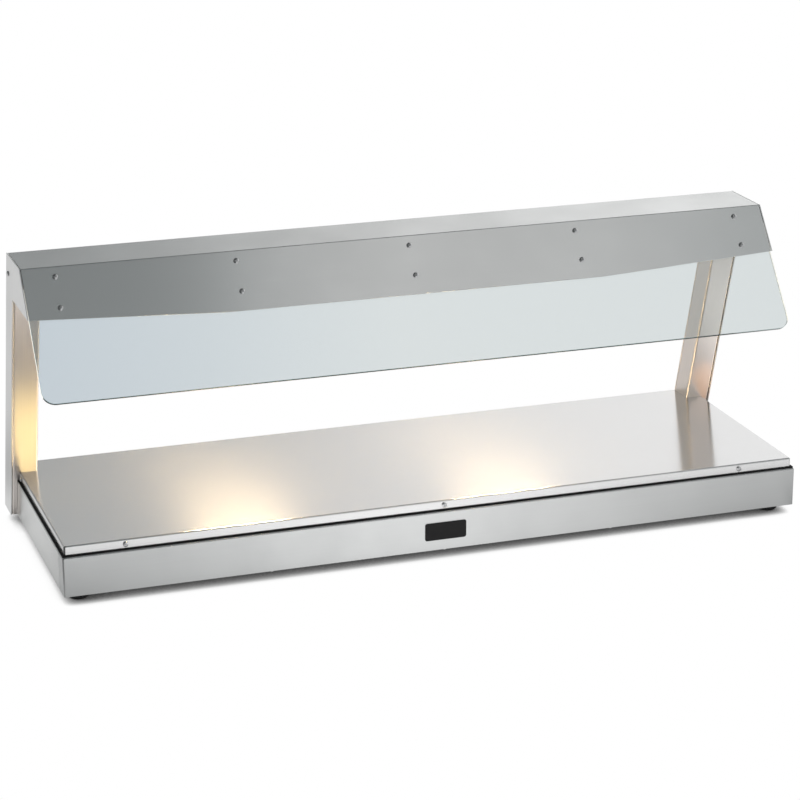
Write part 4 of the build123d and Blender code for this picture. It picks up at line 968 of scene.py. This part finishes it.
quartz = clear_glass("quartz", quartz_tint, quartz_tint, rough=0.02, smear=0.05)
filament = glowing_filament()
coils_by_tree = coil_tree()
coil_values = {"Coil Radius": coil_radius, "Wire Radius": coil_wire, "Turns": coil_turns, "Seed": 1}
coil_values.update({"Half Length": coil_half, "Finish": filament})
for side in ("left", "right"):
    lamp_low, lamp_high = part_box(f"{side}_quartz_lamp")
    lamp_centre = (lamp_low + lamp_high) / 2
    bore = tube_radius - tube_wall
    tube_line = [(-tube_half, tube_radius), (tube_half, tube_radius)]
    tube_line += [(tube_half, bore), (-tube_half, bore), (-tube_half, tube_radius)]
    tube = lathed(f"{side}_quartz_tube", tube_line, lamp_centre, quartz)
    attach(tube, "frame")
    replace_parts(tube, f"{side}_quartz_lamp")
    coil_seat = (tuple(lamp_centre), (1, 0, 0))
    coil = grown(f"{side}_lamp_filament", coils_by_tree, [coil_seat], coil_values)
    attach(coil, "frame")
    for end, way in (("inner", 1), ("outer", -1)):
        cap_line = [(way * tube_half, cap_radius), (way * cap_stop, cap_radius)]
        cap_line += [(way * cap_stop, pin_radius), (way * pin_stop, pin_radius)]
        cap = lathed(f"{side}_lamp_cap_{end}", cap_line, lamp_centre, screw_zinc)
        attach(cap, "frame")

# Lamp guards
# Welded grids of bright chromed wire, clipped under the soffit. They keep hands and dishes off the
# hot lamps.
chrome_pale = (0.80, 0.80, 0.81, 1.0)
chrome_dark = (0.62, 0.62, 0.64, 1.0)
guard_chrome = plated("guard_chrome", chrome_dark, chrome_pale, (0.10, 0.22))
dress(guard_chrome, "left_lamp_guard", "right_lamp_guard")

# Wiring
# Silicone leads in a pale sleeve of braided glass. The cable runs inside one upright, and its leads
# run inside the canopy to the lamps.
braid_pale = (0.72, 0.70, 0.64, 1.0)
braid_dark = (0.50, 0.47, 0.41, 1.0)
braid_lead = moulded("braid_lead", braid_dark, braid_pale, (0.6, 0.8), pores=0.0006, relief=0.5)
dress(braid_lead, "lamp_cable", "lamp_leads")

# Floor
# Plain pale counter for the pictures, white to the camera with the soft shadow of the unit on it.
# The steel mirrors it as a bright pool with darker zones round it. Each span of a zone runs from
# where the zone starts to where it is full.
floor_half = 12.0
floor_drop = 0.0003
floor_pale = (0.62, 0.62, 0.62, 1.0)
shadow_reach = 0.06
shadow_dark = 0.03
shadow_span = (0.10, 0.58)
shadow_samples = 16
mirrored_reach = 0.05
mirrored_dark = 0.03
mirrored_span = (0.35, 0.85)
mirrored_samples = 8
mirrored_low = 0.52
mirrored_high = 1.20
pool_middle = (-0.05, -0.45)
pool_reach = 0.76
behind_span = (-0.3, 0.1)
back_left_levels = ((0.30, 0.78), (0.42, 0.55), (0.55, 0.60), (0.80, 0.78))
back_right = 0.62
back_right_span = (-0.7, 0.3)
dark_side = 0.06
mirrored_right = 1.15
right_rise = (0.75, 0.88)
right_x_span = (0.71, 0.73)
right_y_span = (-0.34, -0.26)
mirrored_far = 1.25
far_span = (-0.47, -0.50)
mirrored_corner = 0.42
corner_x_span = (0.95, 1.05)
corner_y_span = (-0.40, -0.50)
left_x_span = (-0.79, -0.85)
left_y_span = (0.30, 0.18)


def level_by(tree, value, levels):
    """Brightness that follows a value through a few given levels."""
    ramp = add_node(tree, "ShaderNodeValToRGB", {0: value})
    stops = ramp.color_ramp.elements
    while len(stops) < len(levels):
        stops.new(1.0)
    for stop, (place, level) in zip(stops, levels):
        stop.position = place
        stop.color = (level, level, level, 1.0)
    return ramp.outputs[0]


def open_sky(tree, reach, samples):
    """How open the floor is to the sky, within a reach."""
    return add_node(tree, "ShaderNodeAmbientOcclusion", {"Distance": reach}, samples=samples).outputs["AO"]


def inside(tree, value, span):
    """Nought where a span starts and one where it is full."""
    return spread(tree, value, 0.0, 1.0, *span)


def zone(tree, x, y, x_span, y_span):
    """One inside a corner of the floor, and nought outside it."""
    return math_node(tree, "MULTIPLY", inside(tree, x, x_span), inside(tree, y, y_span))


def mirrored_floor(tree):
    """Brightness that the steel mirrors."""
    coords = add_node(tree, "ShaderNodeTexCoord").outputs["Object"]
    x, y, _ = add_node(tree, "ShaderNodeSeparateXYZ", {0: coords}).outputs
    offset = {0: coords, 1: (pool_middle[0], pool_middle[1], 0.0)}
    away = add_node(tree, "ShaderNodeVectorMath", offset, operation="DISTANCE").outputs["Value"]
    pool = {"Value": away, "From Max": pool_reach, "To Min": mirrored_high, "To Max": mirrored_low}
    level = add_node(tree, "ShaderNodeMapRange", pool, interpolation_type="SMOOTHSTEP").outputs[0]
    back_left = level_by(tree, y, back_left_levels)
    back = mixed(tree, inside(tree, x, back_right_span), back_left, back_right)
    level = mixed(tree, inside(tree, y, behind_span), level, back)
    right = spread(tree, x, dark_side, mirrored_right, *right_rise)
    level = mixed(tree, zone(tree, x, y, right_x_span, right_y_span), level, right)
    level = mixed(tree, inside(tree, y, far_span), level, mirrored_far)
    level = mixed(tree, zone(tree, x, y, corner_x_span, corner_y_span), level, mirrored_corner)
    level = mixed(tree, zone(tree, x, y, left_x_span, left_y_span), level, dark_side)
    shade = open_sky(tree, mirrored_reach, mirrored_samples)
    return math_node(tree, "MULTIPLY", level, spread(tree, shade, mirrored_dark, 1.0, *mirrored_span))


def floor_finish():
    """White to the camera where nothing stands near, and a pale matt counter to everything else."""
    finish, tree, shader = start_finish("counter_white", roughness=0.9, base_color=floor_pale)
    shade = open_sky(tree, shadow_reach, shadow_samples)
    shade = spread(tree, shade, shadow_dark, 1.0, *shadow_span)
    path = add_node(tree, "ShaderNodeLightPath").outputs
    mirrored = math_node(tree, "SUBTRACT", path["Is Glossy Ray"], path["Is Transmission Ray"])
    mirrored = math_node(tree, "MAXIMUM", mirrored, 0.0)
    shade = mixed(tree, mirrored, shade, mirrored_floor(tree))
    white = add_node(tree, "ShaderNodeEmission", {"Strength": shade}).outputs[0]
    seen = math_node(tree, "MAXIMUM", path["Is Camera Ray"], path["Is Transmission Ray"])
    seen = math_node(tree, "MAXIMUM", seen, path["Is Glossy Ray"])
    mix = add_node(tree, "ShaderNodeMixShader", {0: seen, 1: shader.outputs[0], 2: white}).outputs[0]
    tree.links.new(mix, tree.nodes["Material Output"].inputs["Surface"])
    return finish


floor_mesh = bpy.data.meshes.new("counter_floor")
floor_corners = [(-floor_half, -floor_half), (floor_half, -floor_half), (floor_half, floor_half)]
floor_corners = [(x, y, -floor_drop) for x, y in floor_corners + [(-floor_half, floor_half)]]
floor_mesh.from_pydata(floor_corners, [], [(0, 1, 2, 3)])
floor_mesh.materials.append(floor_finish())
floor = placed("counter_floor", floor_mesh)

# Surround
# A pale studio: bright behind the unit, so the plate and the canopy's top mirror it, and darker in
# front and to the left. The camera and the glass see plain white.
back_levels = ((0.10, 0.52), (0.20, 0.62), (0.25, 0.78), (0.31, 0.92), (0.37, 1.0), (0.45, 1.05))
low_levels = ((0.10, 0.23), (0.20, 0.30), (0.26, 0.55), (0.31, 0.88), (0.37, 1.13), (0.45, 1.25))
front_levels = ((0.0, 0.10), (0.15, 0.33), (0.235, 0.31), (0.27, 0.69))
front_levels += ((0.32, 0.71), (0.40, 0.66), (0.46, 0.47), (0.7, 0.5))
low_to_high = (0.26, 0.33)
front_to_back = (-0.25, 0.35)
overhead_level = 0.15
overhead_span = (0.90, 0.96)
overhead_lean = 0.3
overhead_lean_span = (-0.3, 0.1)
shade_colour = (0.94, 1.0, 1.01, 1.0)
light_colour = (1.0, 1.0, 1.0, 1.0)
shade_span = (0.35, 0.7)
matt_level = 0.85


def studio_surround():
    """World whose brightness depends on the direction."""
    world = bpy.data.worlds.new("studio_surround")
    world.use_nodes = True
    tree = world.node_tree
    way = add_node(tree, "ShaderNodeTexCoord").outputs["Generated"]
    x, y, z = add_node(tree, "ShaderNodeSeparateXYZ", {0: way}).outputs
    low, high = level_by(tree, x, low_levels), level_by(tree, x, back_levels)
    backdrop = mixed(tree, inside(tree, z, low_to_high), low, high)
    front = level_by(tree, x, front_levels)
    level = mixed(tree, inside(tree, y, front_to_back), front, backdrop)
    height = math_node(tree, "ADD", z, spread(tree, y, 0.0, overhead_lean, *overhead_lean_span))
    level = math_node(tree, "MULTIPLY", level, spread(tree, height, 1.0, overhead_level, *overhead_span))
    path = add_node(tree, "ShaderNodeLightPath").outputs
    level = mixed(tree, path["Is Diffuse Ray"], level, matt_level)
    seen = math_node(tree, "MAXIMUM", path["Is Camera Ray"], path["Is Transmission Ray"])
    level = mixed(tree, seen, level, 1.0)
    background = tree.nodes["Background"].inputs
    tree.links.new(level, background["Strength"])
    tree.links.new(tinted(tree, level, shade_colour, light_colour, *shade_span), background["Color"])
    bpy.context.scene.world = world


studio_surround()

# Lamp light
# Each heat lamp throws warm light down through its reflector's mouth onto the plate. Two small
# warm lights give the glow at the feet of the uprights.
lamp_mouth = (0.22, 0.05)
lamp_powers = {"left": 7.0, "right": 4.8}
lamp_colour = (1.0, 0.74, 0.42)
lamp_light_z = 0.4840
left_glow_place = (-0.647, -0.045, 0.25)
left_glow_aim = (-0.681, 0.059, 0.1105)
left_glow_size = (0.10, 0.19)
left_glow_power = 0.014
left_glow_spread = math.radians(60.0)
right_glow_place = (0.721, 0.117, 0.11)
right_glow_aim = (0.70, 0.145, 0.1455)
right_glow_size = (0.05, 0.09)
right_glow_power = 0.0010
right_glow_spread = math.radians(90.0)
left_glow_colour = (1.0, 0.72, 0.18)
right_glow_colour = (1.0, 0.45, 0.12)


def soft_lamp(name, place, aim, size, power, colour, opening=math.pi):
    """Area lamp at a place, turned towards a point and hidden from the camera."""
    light = bpy.data.lights.new(name, "AREA")
    light.shape = "ELLIPSE"
    light.size, light.size_y = size
    light.energy = power
    light.color = colour
    light.spread = opening
    lamp = placed(name, light)
    lamp.location = place
    lamp.rotation_euler = (aim - place).to_track_quat("-Z", "Y").to_euler()
    lamp.visible_camera = False


for side in ("left", "right"):
    reflector_low, reflector_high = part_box(f"{side}_lamp_reflector")
    mouth = (reflector_low + reflector_high) / 2
    mouth.z = lamp_light_z
    below = mouth - Vector((0, 0, 1))
    soft_lamp(f"{side}_lamp_light", mouth, below, lamp_mouth, lamp_powers[side], lamp_colour)
left_glow = (Vector(left_glow_place), Vector(left_glow_aim), left_glow_size, left_glow_power)
soft_lamp("left_glow", *left_glow, left_glow_colour, left_glow_spread)
right_glow = (Vector(right_glow_place), Vector(right_glow_aim), right_glow_size, right_glow_power)
soft_lamp("right_glow", *right_glow, right_glow_colour, right_glow_spread)

# Camera
# Long lens from the customer's left, a little above, as the photograph shows the unit. Its angle and
# distance come from a fit to corners and edges of the unit.
camera_place = (-1.49314, -4.34453, 1.75871)
camera_pitch = 0.32201
camera_turn = -0.33087
camera_lens = 114.33
camera_sensor = 36.0
camera = placed("camera", bpy.data.cameras.new("camera"))
camera.data.lens = camera_lens
camera.data.sensor_width = camera_sensor
camera.location = camera_place
camera.rotation_euler = (math.pi / 2 - camera_pitch, 0.0, camera_turn)
bpy.context.scene.camera = camera
bpy.context.scene.view_settings.view_transform = "Standard"
